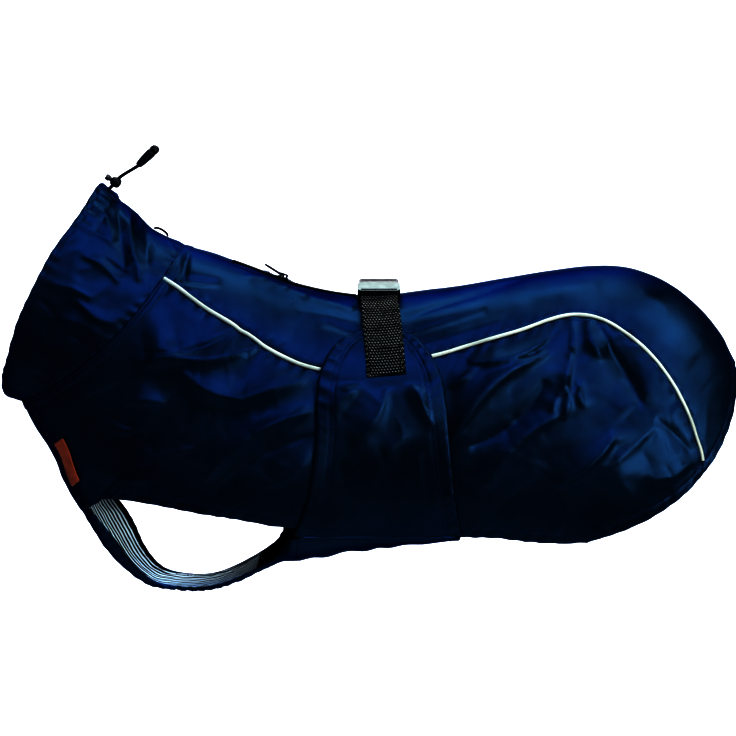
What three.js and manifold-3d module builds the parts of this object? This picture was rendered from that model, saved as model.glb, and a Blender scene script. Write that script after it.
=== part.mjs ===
// A dog raincoat, filled out as if worn, with nothing inside it.
// The head end points to -X, the tail end to +X, and the dog's left side is -Y.
// The origin is on the inner face of the back, on the spine under the belt. Millimetres.

import * as THREE from 'three';
import { mergeVertices } from 'three/addons/utils/BufferGeometryUtils.js';
import Module from 'manifold-3d';

const wasm = await Module();
wasm.setup();

// Cloth thicknesses and the gap that is left between sewn pieces.
const SHELL_WALL = 1.6;
const LINING_WALL = 1.0;
const WING_WALL = 1.8;
const WEBBING_WALL = 1.8;
const SEAM_GAP = 0.4;

// The body's cross sections fan out from the spine to the lower edge. Each row has the spine point,
// the lower edge, the half width at the lower edge and at the widest place, and how far the section
// bows out in the side view. The first rows are closed round the chest.
const SECTION_COLUMNS = ['topX', 'topZ', 'lowX', 'lowZ', 'lowY', 'halfWidth', 'bowX', 'bowZ'];
const SECTIONS = [
  [-151, 41, -268, -74, 30, 56, 9, -8],
  [-128, 34.8, -261, -91, 30, 59, 6, -5],
  [-105, 27, -247, -116, 30, 62, 4, -3],
  [-82, 18, -239, -139, 30, 65, 2, -2],
  [-74, 15, -227.5, -158.5, 30, 66, 0, 0],
  [-66, 12, -213, -149.5, 46, 67, 0, 0],
  [-57, 9.8, -194, -147.5, 58, 69, 0, 0],
  [-45, 7, -166, -150.5, 66, 71, 0, 0],
  [-34, 5, -136, -155.5, 70, 73, 0, 0],
  [-23, 3.5, -106, -160.5, 70, 74, 0, 0],
  [-12, 2.3, -70, -167, 68, 74, 0, 0],
  [2, 1.7, -16, -172, 63, 74, 0, 0],
  [33, 5.8, 26, -173.8, 62, 74, 0, 0],
  [62, 9.3, 58, -174.5, 64, 75, 0, 0],
  [94, 14.9, 88, -175.5, 66, 76, 1, 0],
  [127, 20.4, 111, -177.5, 68, 77, 3, -1],
  [162, 24.8, 124, -178.4, 70, 78.5, 7, -2],
  [194, 23.4, 132, -178.4, 71, 79.5, 13.5, -4.5],
  [225, 11.5, 138.5, -178.2, 72, 80, 19, -8],
  [248.5, -8, 145, -177.8, 73, 80, 22.5, -11.5],
  [264.5, -27.5, 150.5, -177, 74, 79, 24.5, -14.5],
  [274, -46, 155, -176.3, 75, 78, 24.5, -17.2],
];
const ROUNDNESS = 2.3; // 2 is an ellipse, more is squarer
const CHEST_END = 4; // the section where the front stops being closed and the leg holes begin
const LAST_SECTION = SECTIONS.length - 1;

// The piping's line in the side view, from the collar seam to the rear hem.
const PIPING_LINE = [
  [-165.5, 20.7], [-136, 1], [-113, -13], [-90, -28.5], [-67.5, -40.5], [-45, -47], [-22, -48.5],
  [0, -46], [41, -36.5], [67, -29], [104, -18.5], [127, -10.5], [142, -7], [157, -7.5], [168, -10.5],
  [182, -18.5], [201, -34], [215.5, -52], [227, -72], [236.5, -96.5], [241.5, -114.5],
];
const PIPING_RADIUS = 1.4;
const PIPING_SINK = 0.3;

// The collar's rings run from the neck seam to the free edge.
const COLLAR_COLUMNS = ['topX', 'topZ', 'frontX', 'frontZ', 'halfWidth', 'roundness', 'bowX', 'bowZ'];
const COLLAR_RINGS = [
  [-151, 41, -279, -80, 56, 2.3, 10, -9],
  [-174, 53, -290, -76.5, 52, 2.2, 3, -3],
  [-191.5, 68.5, -294.5, -70.5, 49, 2.15, -2, 0],
  [-216.5, 86.5, -294, -61.5, 46, 2.1, -5.2, 2.5],
];
const PUCKER = { from: 0.78, over: 0.08, halfAngle: 0.42, height: 2.4 }; // where the drawcord gathers the top
const CASING_FROM = 0.8; // the drawcord's casing at the free edge, and how much thicker it is
const CASING_EXTRA = 0.7;
const COLLAR_JOIN = 0.3; // over this share the collar takes the body's curve

// The strap between the front legs and the belly: the middle line and the edge at each station.
const UNDERBODY_COLUMNS = ['middleX', 'middleZ', 'edgeX', 'edgeZ', 'edgeY'];
const UNDERBODY = [
  [-234.5, -169, -222, -157, 30],
  [-227, -182.5, -214.5, -171, 27.5],
  [-217, -197.5, -206, -186.5, 25],
  [-201.5, -213.5, -194.5, -204.5, 23],
  [-182, -226.5, -177.5, -220, 22],
  [-157.5, -229.5, -156.5, -225.5, 22],
  [-134, -229.2, -133, -225, 23],
  [-112, -223, -111, -217, 26],
  [-92, -213, -90, -205, 31],
  [-78, -206.8, -75.5, -192.5, 43],
  [-66, -203.5, -66, -176, 66],
];
const BELLY_MIDDLE = [[-65.3, -203.5], [-45, -199.5], [-20, -195], [8, -190.5], [36, -187], [62, -182]];
const BELLY = { inset: 0.03, bend: 2.2, arch: 0.92, drop: 2.2 }; // how the belly hangs between the wings
const STRAP_ARCH = 0.9;
const BELLY_JOIN = 1.6; // over this many stations the strap takes the belly's curve
const STRAP_JOIN = 2.5; // over this many stations the strap takes the chest's curve

// The strap hangs a little twisted: its far edge is drawn back.
const TWIST = { x: -208, z: -172, reach: 52, along: [11, 5], fromY: -22, overY: 60 };

// The wings of the belly piece in the side view: height, front edge and rear edge.
const WING_OUTLINE = [
  [-20.5, -8, 11], [-21.8, -17, 19], [-25, -26, 26.5], [-30, -33, 32], [-37, -39, 37.5], [-50, -45, 44],
  [-68, -47.5, 48], [-98, -47.5, 51], [-135, -52, 54.5], [-158, -59, 58], [-172, -65, 61],
];
const WING_LIFT = 2.1;
const WING_DIP = -0.7; // the deepest that a wing's crease may go
const WING_FOLD_TOP = { z: -56, over: 8 }; // under the belt the wings lie flat
const WING_FOLD_SHIFT = [6, -5]; // the right wing's creases lie a little elsewhere
const MIDDLE_PLACE = [11, 1.2]; // a section and an angle near the belt, as a first guess

// Creases that show from a step away, in the side view: start, end, half width and height.
const LEFT_FOLDS = [
  [-186, -22, -70, -16, 12, 3.5],
  [-176, -40, -98, -33, 7, -3.5],
  [-146, -46, -52, -57, 9, 4],
  [-135, -70, -56, -70, 8, -3.5],
  [-128, -127, -52, -82, 8, 4.5],
  [-86, -137, -58, -113, 7, 3],
  [58, -92, 121, -33, 7.5, 4.5],
  [56, -76, 128, -18, 7, -3.5],
  [54, -60, 76, -36, 7, 3.5],
  [143, -12, 133, -68, 6, -3.5],
  [157, -19, 170, -33, 7, 2.5],
  [165, -27, 199, -70, 9, -3.5],
  [82, -128, 121, -70, 8, 3.5],
  [138, -128, 174, -92, 9, 3.5],
];
const RIGHT_FOLDS = [
  [-180, -28, -86, -24, 11, 3.5],
  [-168, -48, -92, -40, 7, -3.5],
  [-150, -60, -60, -72, 9, 4],
  [-120, -120, -58, -76, 8, 4.5],
  [-96, -136, -66, -104, 7, -2.5],
  [60, -104, 110, -44, 8, 4.5],
  [58, -84, 118, -28, 7, -3.5],
  [146, -14, 140, -76, 6, -3.5],
  [164, -26, 192, -64, 9, -3],
  [96, -136, 128, -84, 8, 3.5],
  [146, -122, 186, -88, 9, 4],
];
const COLLAR_FOLDS = [
  [-202, 64, -192, 29, 5.5, -2.8],
  [-189, 58, -180, 26, 5.5, 2.8],
  [-240, 11, -213, 7, 6, 2.8],
  [-247, -10, -207, -24, 6.5, 3],
  [-226, 32, -197, 16, 5.5, 2.8],
];
const WING_FOLDS = [
  [-18, -97, 4, -64, 7, 3.2],
  [24, -68, 38, -86, 7, 3],
  [-6, -128, 16, -100, 8, 2.2],
];
const SECTION_PITCH = 22; // about how far apart the sections are along the side
const SEAM_CALM = 9; // folds die out this near a seam, in millimetres
const SPINE_CALM = { fromY: 12, overY: 22 }; // and near the spine
const WING_CALM = { middle: 1, halfWidth: 46, over: 14 }; // and under the wings

// The harness zip on the spine.
const VALLEY = { depth: 1.2, halfWidth: 10, fade: 14, floor: -30 }; // the zip lies in a soft valley
const ZIP = { front: -114, rear: -18, halfSlit: 8, tapeInner: 2.4, tapeWall: 1, tapeDrop: 0.7 };
const CHAIN = { halfWidth: 1.9, top: 0.5, height: 1.9 };
const SLIDER = { x: -75.5, length: 9, width: 7, height: 1.4, lift: 0.95 };
const BRIDGE = { length: 6.4, width: 1.8, bar: 1, opening: 1.9 };
const PULL = { length: 17, width: 6, wall: 1.1, eyeWidth: 2.9, root: 1.1, eyeLength: 4.2, raised: 12 };

// The belt across the back.
const WEBBING = { width: 28, endHeight: -51.5, topX: -1, endX: 4.5, lift: 4.5, buckleLift: 6.8 };
const BUCKLE = {
  length: 48, width: 32.5, height: 7.6, wall: 1.7, middleY: -4, bottom: 4.1, tilt: 6,
  slotHalf: 13.8, slotFrom: 2.6, slotTo: 6.2,
};

// The drawcord and what is on it.
const CORD_RADIUS = 1.2;
const LOCK = { x: -203.6, z: 90, radius: 4, length: 8.6, axis: [-0.86, 0, 0.51] };
const CORD_END = { root: [-186.4, 0, 102.6], tip: [-170.8, 0, 117.4], radius: 3.6 };
const EYELET = { along: 0.92, angle: 0.05, apart: 0.031, lift: 0.6 };
const STRAND_SPREAD = 1.4;
const LOOP = { along: 0.27, reach: 0.075, height: 2.2, radius: 0.6 }; // the small loop on the collar

const LABEL = { from: 1.75, to: 3.15, near: 2.2, far: 13.5, lift: 0.45, wall: 1.3 };

const COLOURS = {
  shell: 0x10264c, lining: 0x8d949e, piping: 0xa9b2a8, webbing: 0x17181b, buckle: 0x8d959c,
  black: 0x101114, leather: 0xa34a26,
};

const group = new THREE.Group();

/** Adds one named solid to the part. */
function addPart(name, geometry, colour, roughness = 0.7, metalness = 0) {
  const material = new THREE.MeshStandardMaterial({ color: colour, roughness, metalness });
  const mesh = new THREE.Mesh(geometry, material);
  mesh.name = name;
  group.add(mesh);
  return mesh;
}

/** Smooth step from 0 to 1. */
function smooth(x) {
  const s = Math.min(1, Math.max(0, x));
  return s * s * (3 - 2 * s);
}

/** Reads a table at a place between its rows, on a curve through them. */
function readTable(rows, at) {
  const last = rows.length - 1;
  const i = Math.min(last - 1, Math.max(0, Math.floor(at)));
  const f = at - i;
  const before = rows[Math.max(0, i - 1)];
  const after = rows[Math.min(last, i + 2)];
  return rows[i].map((a, k) => {
    const b = rows[i + 1][k];
    const slopeA = (i > 0 ? b - before[k] : 2 * (b - a)) / 2;
    const slopeB = (i + 2 <= last ? after[k] - a : 2 * (b - a)) / 2;
    const f2 = f * f;
    const f3 = f2 * f;
    return (2 * f3 - 3 * f2 + 1) * a + (f3 - 2 * f2 + f) * slopeA
      + (3 * f2 - 2 * f3) * b + (f3 - f2) * slopeB;
  });
}

function named(columns, values) {
  return Object.fromEntries(columns.map((name, k) => [name, values[k]]));
}

/** A signed power, for squared-off rounds. */
function roundPower(value, roundness) {
  return Math.sign(value) * Math.abs(value) ** (2 / roundness);
}

/** Draws back the far edge of the chest and strap. */
function twist(p) {
  const far = smooth((p.y - TWIST.fromY) / TWIST.overY);
  const d2 = (p.x - TWIST.x) ** 2 + (p.z - TWIST.z) ** 2;
  const amount = far * Math.exp(-d2 / TWIST.reach ** 2);
  return new THREE.Vector3(p.x + amount * TWIST.along[0], p.y, p.z + amount * TWIST.along[1]);
}

function endAngle(section) {
  return Math.PI - Math.asin((section.lowY / section.halfWidth) ** (ROUNDNESS / 2));
}

function sectionAt(t) {
  const section = named(SECTION_COLUMNS, readTable(SECTIONS, t));
  section.end = endAngle(section);
  return section;
}

/** A point of the body's outer surface: section t, angle round from the spine, right side positive. */
function bodyPoint(t, angle) {
  const s = sectionAt(t);
  const h = (1 - Math.cos(angle)) / (1 - Math.cos(s.end));
  const bow = 4 * h * (1 - h);
  return new THREE.Vector3(
    s.topX + (s.lowX - s.topX) * h + s.bowX * bow,
    s.halfWidth * roundPower(Math.sin(angle), ROUNDNESS),
    s.topZ + (s.lowZ - s.topZ) * h + s.bowZ * bow,
  );
}

/** The outward direction of a surface given as a function of two numbers. */
function outward(surface, a, b, stepA = 0.04, stepB = 0.03) {
  const alongA = surface(a + stepA, b).sub(surface(a - stepA, b));
  const alongB = surface(a, b + stepB).sub(surface(a, b - stepB));
  return alongA.cross(alongB).normalize();
}

/** How far the creases in a table lift the cloth at a place in the side view. */
function foldHeight(rows, x, z) {
  let sum = 0;
  for (const [x0, z0, x1, z1, width, height] of rows) {
    const dx = x1 - x0;
    const dz = z1 - z0;
    const f = Math.min(1, Math.max(0, ((x - x0) * dx + (z - z0) * dz) / (dx * dx + dz * dz)));
    const away = Math.hypot(x - x0 - f * dx, z - z0 - f * dz);
    const ends = 0.45 + 0.55 * Math.sin(Math.PI * (0.12 + 0.76 * f));
    sum += height * ends * Math.exp(-((away / width) ** 2));
  }
  return sum;
}

/** The crease height on the body, calmed near the collar seam. */
function bodyFold(t, p) {
  if (Math.abs(p.y) < SPINE_CALM.fromY) return zipValley(p);
  const sideFade = smooth((Math.abs(p.y) - SPINE_CALM.fromY) / SPINE_CALM.overY);
  const besideWing = smooth((Math.abs(p.x - WING_CALM.middle) - WING_CALM.halfWidth) / WING_CALM.over);
  const calm = smooth((t * SECTION_PITCH) / SEAM_CALM) * besideWing;
  return foldHeight(p.y < 0 ? LEFT_FOLDS : RIGHT_FOLDS, p.x, p.z) * sideFade * calm + zipValley(p);
}

/** How far the back sinks towards the zip. */
function zipValley(p) {
  const front = smooth((p.x - ZIP.front + VALLEY.fade) / VALLEY.fade);
  const rear = smooth((ZIP.rear + VALLEY.fade - p.x) / VALLEY.fade);
  if (p.z < VALLEY.floor) return 0;
  return -VALLEY.depth * front * rear * Math.exp(-((p.y / VALLEY.halfWidth) ** 2));
}

/** The body's cloth at a distance out from its surface, with its creases. */
function clothPoint(t, angle, out) {
  const p = bodyPoint(t, angle);
  const n = outward(bodyPoint, t, angle);
  return twist(p.clone().addScaledVector(n, bodyFold(t, p) + out));
}

/** Builds one closed wall from two grids of points, leaving out the cells that keep() refuses. */
function wall(rows, columns, outer, inner, keep = () => true, round = false) {
  const positions = [];
  const wide = columns + (round ? 0 : 1);
  const count = (rows + 1) * wide;
  for (const layer of [outer, inner]) {
    for (let i = 0; i <= rows; i++) {
      for (let j = 0; j < wide; j++) positions.push(...layer(i, j).toArray());
    }
  }
  const index = (i, j) => i * wide + (j % wide);
  const faces = [];
  const edges = new Map();
  for (let i = 0; i < rows; i++) {
    for (let j = 0; j < columns; j++) {
      if (!keep(i, j)) continue;
      const ring = [index(i, j), index(i + 1, j), index(i + 1, j + 1), index(i, j + 1)];
      faces.push(ring[0], ring[1], ring[2], ring[0], ring[2], ring[3]);
      const under = ring.map((k) => k + count);
      faces.push(under[0], under[2], under[1], under[0], under[3], under[2]);
      ring.forEach((from, k) => edges.set(`${from},${ring[(k + 1) % 4]}`, [from, ring[(k + 1) % 4]]));
    }
  }
  for (const [from, to] of edges.values()) {
    if (edges.has(`${to},${from}`)) continue;
    faces.push(to, from, from + count, to, from + count, to + count);
  }
  const geometry = new THREE.BufferGeometry();
  geometry.setAttribute('position', new THREE.Float32BufferAttribute(positions, 3));
  geometry.setIndex(faces);
  const used = geometry.toNonIndexed();
  used.computeVertexNormals();
  return used;
}

/** Finds the section and angle of a left-side place that is given in the side view. */
function locate(x, z, t = 10, angle = 1) {
  for (let i = 0; i < 60; i++) {
    const p = bodyPoint(t, angle);
    const step = 0.01;
    const pt = bodyPoint(t + step, angle).sub(p).divideScalar(step);
    const pa = bodyPoint(t, angle + step).sub(p).divideScalar(step);
    const det = pt.x * pa.z - pa.x * pt.z;
    const dx = x - p.x;
    const dz = z - p.z;
    t += Math.max(-1, Math.min(1, (dx * pa.z - pa.x * dz) / det));
    angle += Math.max(-0.2, Math.min(0.2, (pt.x * dz - dx * pt.z) / det));
    t = Math.max(-0.6, Math.min(LAST_SECTION + 0.6, t));
    angle = Math.max(0.1, Math.min(2.9, angle));
  }
  return [t, angle];
}

// The piping's angle at each section, from its line in the side view.
const pipingPlaces = [];
for (const [x, z] of PIPING_LINE) {
  const guess = pipingPlaces.at(-1) ?? [0.2, 0.6];
  pipingPlaces.push(locate(x, z, ...guess));
}

/** The angle of the piping seam at section t. */
function pipingAngle(t) {
  let i = pipingPlaces.findIndex(([place]) => place > t);
  if (i < 0) i = pipingPlaces.length - 1;
  i = Math.max(1, i);
  const [t0, a0] = pipingPlaces[i - 1];
  const [t1, a1] = pipingPlaces[i];
  const before = pipingPlaces[Math.max(0, i - 2)];
  const after = pipingPlaces[Math.min(pipingPlaces.length - 1, i + 1)];
  const f = (t - t0) / (t1 - t0);
  const m0 = ((a1 - before[1]) / (t1 - before[0])) * (t1 - t0);
  const m1 = ((after[1] - a0) / (after[0] - t0)) * (t1 - t0);
  if (f < 0 || f > 1) return a0 + (a1 - a0) * f;
  const f2 = f * f;
  const f3 = f2 * f;
  return (2 * f3 - 3 * f2 + 1) * a0 + (f3 - 2 * f2 + f) * m0 + (3 * f2 - 2 * f3) * a1 + (f3 - f2) * m1;
}

/** Turns a distance round the section into an angle. */
function angleStep(t, angle, distance) {
  const speed = bodyPoint(t, angle + 0.01).distanceTo(bodyPoint(t, angle - 0.01)) / 0.02;
  return distance / speed;
}

/** The section that has this X at an angle. */
function sectionThrough(x, angle) {
  let low = 0;
  let high = LAST_SECTION;
  for (let i = 0; i < 40; i++) {
    const middle = (low + high) / 2;
    if (bodyPoint(middle, angle).x < x) low = middle;
    else high = middle;
  }
  return low;
}

/** The section whose spine point has this X. */
function sectionOfSpine(x) {
  return sectionThrough(x, 0);
}

/** Evenly spaced values that run through the given stops. */
function through(stops, cells) {
  const values = [stops[0]];
  cells.forEach((n, k) => {
    for (let i = 1; i <= n; i++) values.push(stops[k] + ((stops[k + 1] - stops[k]) * i) / n);
  });
  return values;
}

const slitFront = sectionOfSpine(ZIP.front);
const slitRear = sectionOfSpine(ZIP.rear);
const pipingEnd = pipingPlaces.at(-1)[0];
const FRONT_CELLS = [2, 4];
const SLIT_CELLS = 11;
const SECTION_STOPS = through(
  [0, slitFront, CHEST_END, slitRear, pipingEnd, pipingEnd + 0.06, LAST_SECTION],
  [...FRONT_CELLS, SLIT_CELLS, 16, 1, 1],
);
const PANEL_ROWS = SECTION_STOPS.length - 1;
const slitRowFront = FRONT_CELLS[0];
const slitRowRear = FRONT_CELLS[0] + FRONT_CELLS[1] + SLIT_CELLS;
const PIPING_ROWS = PANEL_ROWS - 2;

/** How far a panel stops short of the seam: beside the piping, or edge to edge past its end. */
function seamClearance(i) {
  return i <= PIPING_ROWS ? PIPING_RADIUS + 0.7 : SEAM_GAP * 0.7;
}

/** The angle at which the body is this far from the middle plane, near the spine. */
function angleOfWidth(t, y) {
  return Math.asin((y / sectionAt(t).halfWidth) ** (ROUNDNESS / 2));
}

function backPanel() {
  const sideCells = 4;
  const angleOf = (i, j) => {
    const t = SECTION_STOPS[i];
    const edge = pipingAngle(t);
    const outerEdge = edge - angleStep(t, edge, seamClearance(i));
    const slit = angleOfWidth(t, ZIP.halfSlit);
    if (j <= sideCells) return -outerEdge + ((outerEdge - slit) * j) / sideCells;
    return slit + ((outerEdge - slit) * (j - sideCells - 1)) / sideCells;
  };
  const layer = (out) => (i, j) => clothPoint(SECTION_STOPS[i], angleOf(i, j), out);
  const keep = (i, j) => !(j === sideCells && i >= slitRowFront && i < slitRowRear);
  return wall(PANEL_ROWS, 2 * sideCells + 1, layer(0), layer(-SHELL_WALL), keep);
}

function sidePanel(side) {
  const columns = 11;
  const layer = (out) => (i, j) => {
    const t = SECTION_STOPS[i];
    const edge = pipingAngle(t);
    const top = edge + angleStep(t, edge, seamClearance(i));
    const end = sectionAt(t).end;
    const low = end - angleStep(t, end, SEAM_GAP / 2);
    const column = side > 0 ? j : columns - j;
    return clothPoint(t, side * (top + ((low - top) * column) / columns), out);
  };
  return wall(PANEL_ROWS, columns, layer(0), layer(-SHELL_WALL));
}

function piping(side) {
  const sides = 6;
  const positions = [];
  SECTION_STOPS.slice(0, PIPING_ROWS + 1).forEach((t, i) => {
    const place = i === 0 ? 0.02 : t;
    const angle = side * pipingAngle(place);
    const middle = clothPoint(place, angle, -PIPING_SINK);
    const out = clothPoint(place, angle, 1).sub(clothPoint(place, angle, 0)).normalize();
    const across = clothPoint(place, angle + 0.02, 0).sub(clothPoint(place, angle - 0.02, 0));
    across.addScaledVector(out, -across.dot(out)).normalize();
    for (let k = 0; k < sides; k++) {
      const turn = (2 * Math.PI * k) / sides;
      const p = middle.clone().addScaledVector(out, PIPING_RADIUS * Math.sin(turn));
      positions.push(p.addScaledVector(across, PIPING_RADIUS * Math.cos(turn)));
    }
  });
  return closedSweep(positions, sides);
}

/** Closes rings of points, each with the same number of corners, into one solid with flat ends. */
function closedSweep(points, sides) {
  const rings = points.length / sides;
  const faces = [];
  for (let i = 0; i + 1 < rings; i++) {
    for (let k = 0; k < sides; k++) {
      const a = i * sides + k;
      const b = i * sides + ((k + 1) % sides);
      faces.push(a, b, b + sides, a, b + sides, a + sides);
    }
  }
  for (let k = 1; k + 1 < sides; k++) {
    faces.push(0, k + 1, k);
    const base = (rings - 1) * sides;
    faces.push(base, base + k, base + k + 1);
  }
  const geometry = new THREE.BufferGeometry();
  geometry.setAttribute('position', new THREE.Float32BufferAttribute(points.flatMap((p) => p.toArray()), 3));
  geometry.setIndex(faces);
  return faceOutward(geometry.toNonIndexed());
}

/** Turns every face round when the solid is inside out. */
function faceOutward(geometry) {
  const p = geometry.getAttribute('position');
  let volume = 0;
  const [a, b, c] = [new THREE.Vector3(), new THREE.Vector3(), new THREE.Vector3()];
  for (let i = 0; i < p.count; i += 3) {
    a.fromBufferAttribute(p, i);
    b.fromBufferAttribute(p, i + 1);
    c.fromBufferAttribute(p, i + 2);
    volume += a.dot(b.clone().cross(c));
  }
  if (volume < 0) {
    for (let i = 0; i < p.count; i += 3) {
      b.fromBufferAttribute(p, i + 1);
      c.fromBufferAttribute(p, i + 2);
      p.setXYZ(i + 1, c.x, c.y, c.z);
      p.setXYZ(i + 2, b.x, b.y, b.z);
    }
  }
  geometry.computeVertexNormals();
  return geometry;
}

function chestPanel() {
  const columns = 6;
  const rows = FRONT_CELLS[0] + FRONT_CELLS[1];
  const layer = (out) => (i, j) => {
    const t = Math.max(0.02, SECTION_STOPS[i]);
    const end = sectionAt(t).end;
    const start = end + angleStep(t, end, SEAM_GAP / 2);
    return clothPoint(t, start + ((2 * Math.PI - 2 * start) * j) / columns, out);
  };
  return wall(rows, columns, layer(0), layer(-SHELL_WALL));
}

/** A point of the collar's outer surface: 0 at the neck seam and 1 at the free edge. */
function collarPoint(along, angle) {
  const r = named(COLLAR_COLUMNS, readTable(COLLAR_RINGS, along * (COLLAR_RINGS.length - 1)));
  const p = ringPoint(r, angle);
  const join = smooth(Math.max(0, along) / COLLAR_JOIN);
  if (join >= 1) return p;
  const seam = ringPoint(named(COLLAR_COLUMNS, COLLAR_RINGS[0]), angle);
  return bodyPoint(0, angle).add(p.clone().sub(seam)).lerp(p, join);
}

/** A point of one collar ring. It stands straight at the top, then bows out to the front. */
function ringPoint(r, angle) {
  const h = (1 - Math.cos(angle)) / 2;
  const bow = smooth((h - 0.07) / 0.32) * smooth((1 - h) / 0.38);
  return new THREE.Vector3(
    r.topX + (r.frontX - r.topX) * h + r.bowX * bow,
    r.halfWidth * roundPower(Math.sin(angle), r.roundness),
    r.topZ + (r.frontZ - r.topZ) * h + r.bowZ * bow,
  );
}

function collarCloth(along, angle, out) {
  const p = collarPoint(along, angle);
  const n = outward(collarPoint, along, angle).negate();
  const calm = smooth(along / 0.16) * smooth((Math.abs(p.y) - 6) / 14);
  const shift = p.y < 0 ? 0 : 5;
  const fold = foldHeight(COLLAR_FOLDS, p.x - shift, p.z + shift) * calm;
  const turn = Math.atan2(Math.sin(angle), Math.cos(angle));
  const nearTop = Math.exp(-((turn / PUCKER.halfAngle) ** 2));
  const pucker = PUCKER.height * smooth((along - PUCKER.from) / PUCKER.over) * nearTop;
  return p.addScaledVector(n, fold + pucker + out);
}

function collar() {
  const rows = 8;
  const columns = 36;
  const layer = (out, extra) => (i, j) => {
    const angle = -(2 * Math.PI * j) / columns;
    const start = SEAM_GAP / collarPoint(0, angle).distanceTo(collarPoint(1, angle));
    const along = i === 0 ? start : i / rows;
    const thick = along > CASING_FROM ? extra : 0;
    return collarCloth(along, angle, out + thick);
  };
  return wall(rows, columns, layer(0, CASING_EXTRA), layer(-SHELL_WALL, 0), () => true, true);
}

/** A point of a wing: 0 to 1 down from its top and across from its front edge. */
function wingPoint(side, down, across, out) {
  const [z, front, rear] = readTable(WING_OUTLINE, down * (WING_OUTLINE.length - 1));
  const x = front + (rear - front) * across;
  const [t, angle] = locate(x, z, ...MIDDLE_PLACE);
  const p = bodyPoint(t, angle);
  const [shiftX, shiftZ] = side < 0 ? [0, 0] : WING_FOLD_SHIFT;
  const own = Math.max(WING_DIP, foldHeight(WING_FOLDS, x + shiftX, z + shiftZ));
  const belowBelt = smooth((WING_FOLD_TOP.z - p.z) / WING_FOLD_TOP.over);
  return clothPoint(t, side * angle, WING_LIFT + own * belowBelt + out);
}

function wing(side) {
  const rows = 12;
  const columns = 8;
  const layer = (out) => (i, j) => {
    const across = side < 0 ? j / columns : 1 - j / columns;
    return wingPoint(side, i / rows, across, out);
  };
  return faceOutward(wall(rows, columns, layer(WING_WALL), layer(0)));
}

const STRAP_END = UNDERBODY.length - 1;

/** How far out a place across an arched strip is, from -1 to 1. */
function archWidth(across, arch) {
  return Math.sin((Math.PI / 2) * across * arch) / Math.sin((Math.PI / 2) * arch);
}

/** A point of the belly's outer surface: 0 at the strap to 1 at the rear, and -1 to 1 across. */
function bellyPoint(along, across) {
  const [x, z] = readTable(BELLY_MIDDLE, along * (BELLY_MIDDLE.length - 1));
  const place = BELLY.inset + (1 - 2 * BELLY.inset) * along;
  const foot = wingPoint(across < 0 ? -1 : 1, 1, place, WING_WALL / 2);
  const bend = Math.abs(across) ** BELLY.bend;
  return new THREE.Vector3(
    x + (foot.x - x) * bend,
    Math.abs(foot.y) * archWidth(across, BELLY.arch),
    z + (foot.z - BELLY.drop - z) * bend,
  );
}

/** A point of the strap between the front legs: station, and -1 to 1 from the left edge to the right. */
function strapPoint(station, across) {
  const r = named(UNDERBODY_COLUMNS, readTable(UNDERBODY, station));
  const bend = Math.abs(across) ** 2;
  const plain = new THREE.Vector3(
    r.middleX + (r.edgeX - r.middleX) * bend,
    r.edgeY * archWidth(across, STRAP_ARCH),
    r.middleZ + (r.edgeZ - r.middleZ) * bend,
  );
  const rear = smooth((station - STRAP_END + BELLY_JOIN) / BELLY_JOIN);
  if (rear > 0) {
    const seam = bellyPoint(0, across).add(new THREE.Vector3(r.middleX - BELLY_MIDDLE[0][0], 0, 0));
    return plain.lerp(seam, rear);
  }
  const join = smooth(station / STRAP_JOIN);
  if (join >= 1) return plain;
  const end = sectionAt(CHEST_END).end;
  const chest = bodyPoint(CHEST_END, Math.PI - across * (Math.PI - end));
  const first = named(UNDERBODY_COLUMNS, UNDERBODY[0]);
  const moved = chest.add(new THREE.Vector3(r.middleX - first.middleX, 0, r.middleZ - first.middleZ));
  moved.y *= r.edgeY / first.edgeY;
  return moved.lerp(plain, join);
}

function strapCloth(station, across, out) {
  const p = strapPoint(station, across);
  const n = outward(strapPoint, station, across, 0.05, 0.05);
  return twist(p.addScaledVector(n, out));
}

const STRAP_ROWS = 18;
const STRAP_COLUMNS = 6;

function strapStation(i) {
  return 0.06 + ((STRAP_END - 0.06) * i) / STRAP_ROWS;
}

function strap() {
  const layer = (out) => (i, j) => strapCloth(strapStation(i), 1 - (2 * j) / STRAP_COLUMNS, out);
  return faceOutward(wall(STRAP_ROWS, STRAP_COLUMNS, layer(0), layer(SHELL_WALL * strapInward)));
}

/** 1 or -1: which way the strap's normal points inward. */
const strapInward = Math.sign(outward(strapPoint, 5, 0, 0.05, 0.05).z);

function strapLining() {
  const rows = 14;
  const inset = 0.8;
  const layer = (depth) => (i, j) => {
    const across = Math.max(-inset, Math.min(inset, 1 - (2 * j) / STRAP_COLUMNS));
    return strapCloth(strapStation(i), across, depth * strapInward);
  };
  const top = SHELL_WALL + 1.1;
  return faceOutward(wall(rows, STRAP_COLUMNS, layer(top), layer(top + LINING_WALL)));
}

function belly() {
  const rows = 8;
  const columns = 8;
  const layer = (lift) => (i, j) => {
    const p = bellyPoint(i / rows, 1 - (2 * j) / columns);
    return p.add(new THREE.Vector3(0, 0, lift));
  };
  return faceOutward(wall(rows, columns, layer(0), layer(SHELL_WALL)));
}

/** A strip of cloth or tape along the spine, between two distances from the middle plane. */
function spineStrip(fromX, toX, fromY, toY, top, height, rows) {
  const t0 = sectionOfSpine(fromX);
  const t1 = sectionOfSpine(toX);
  const spine = (t, y, out) => {
    const sign = Math.sign(y);
    return clothPoint(t, sign * angleOfWidth(t, Math.abs(y)), out);
  };
  const layer = (out) => (i, j) => spine(t0 + ((t1 - t0) * i) / rows, j === 0 ? fromY : toY, out);
  return faceOutward(wall(rows, 1, layer(top), layer(top - height)));
}

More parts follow.
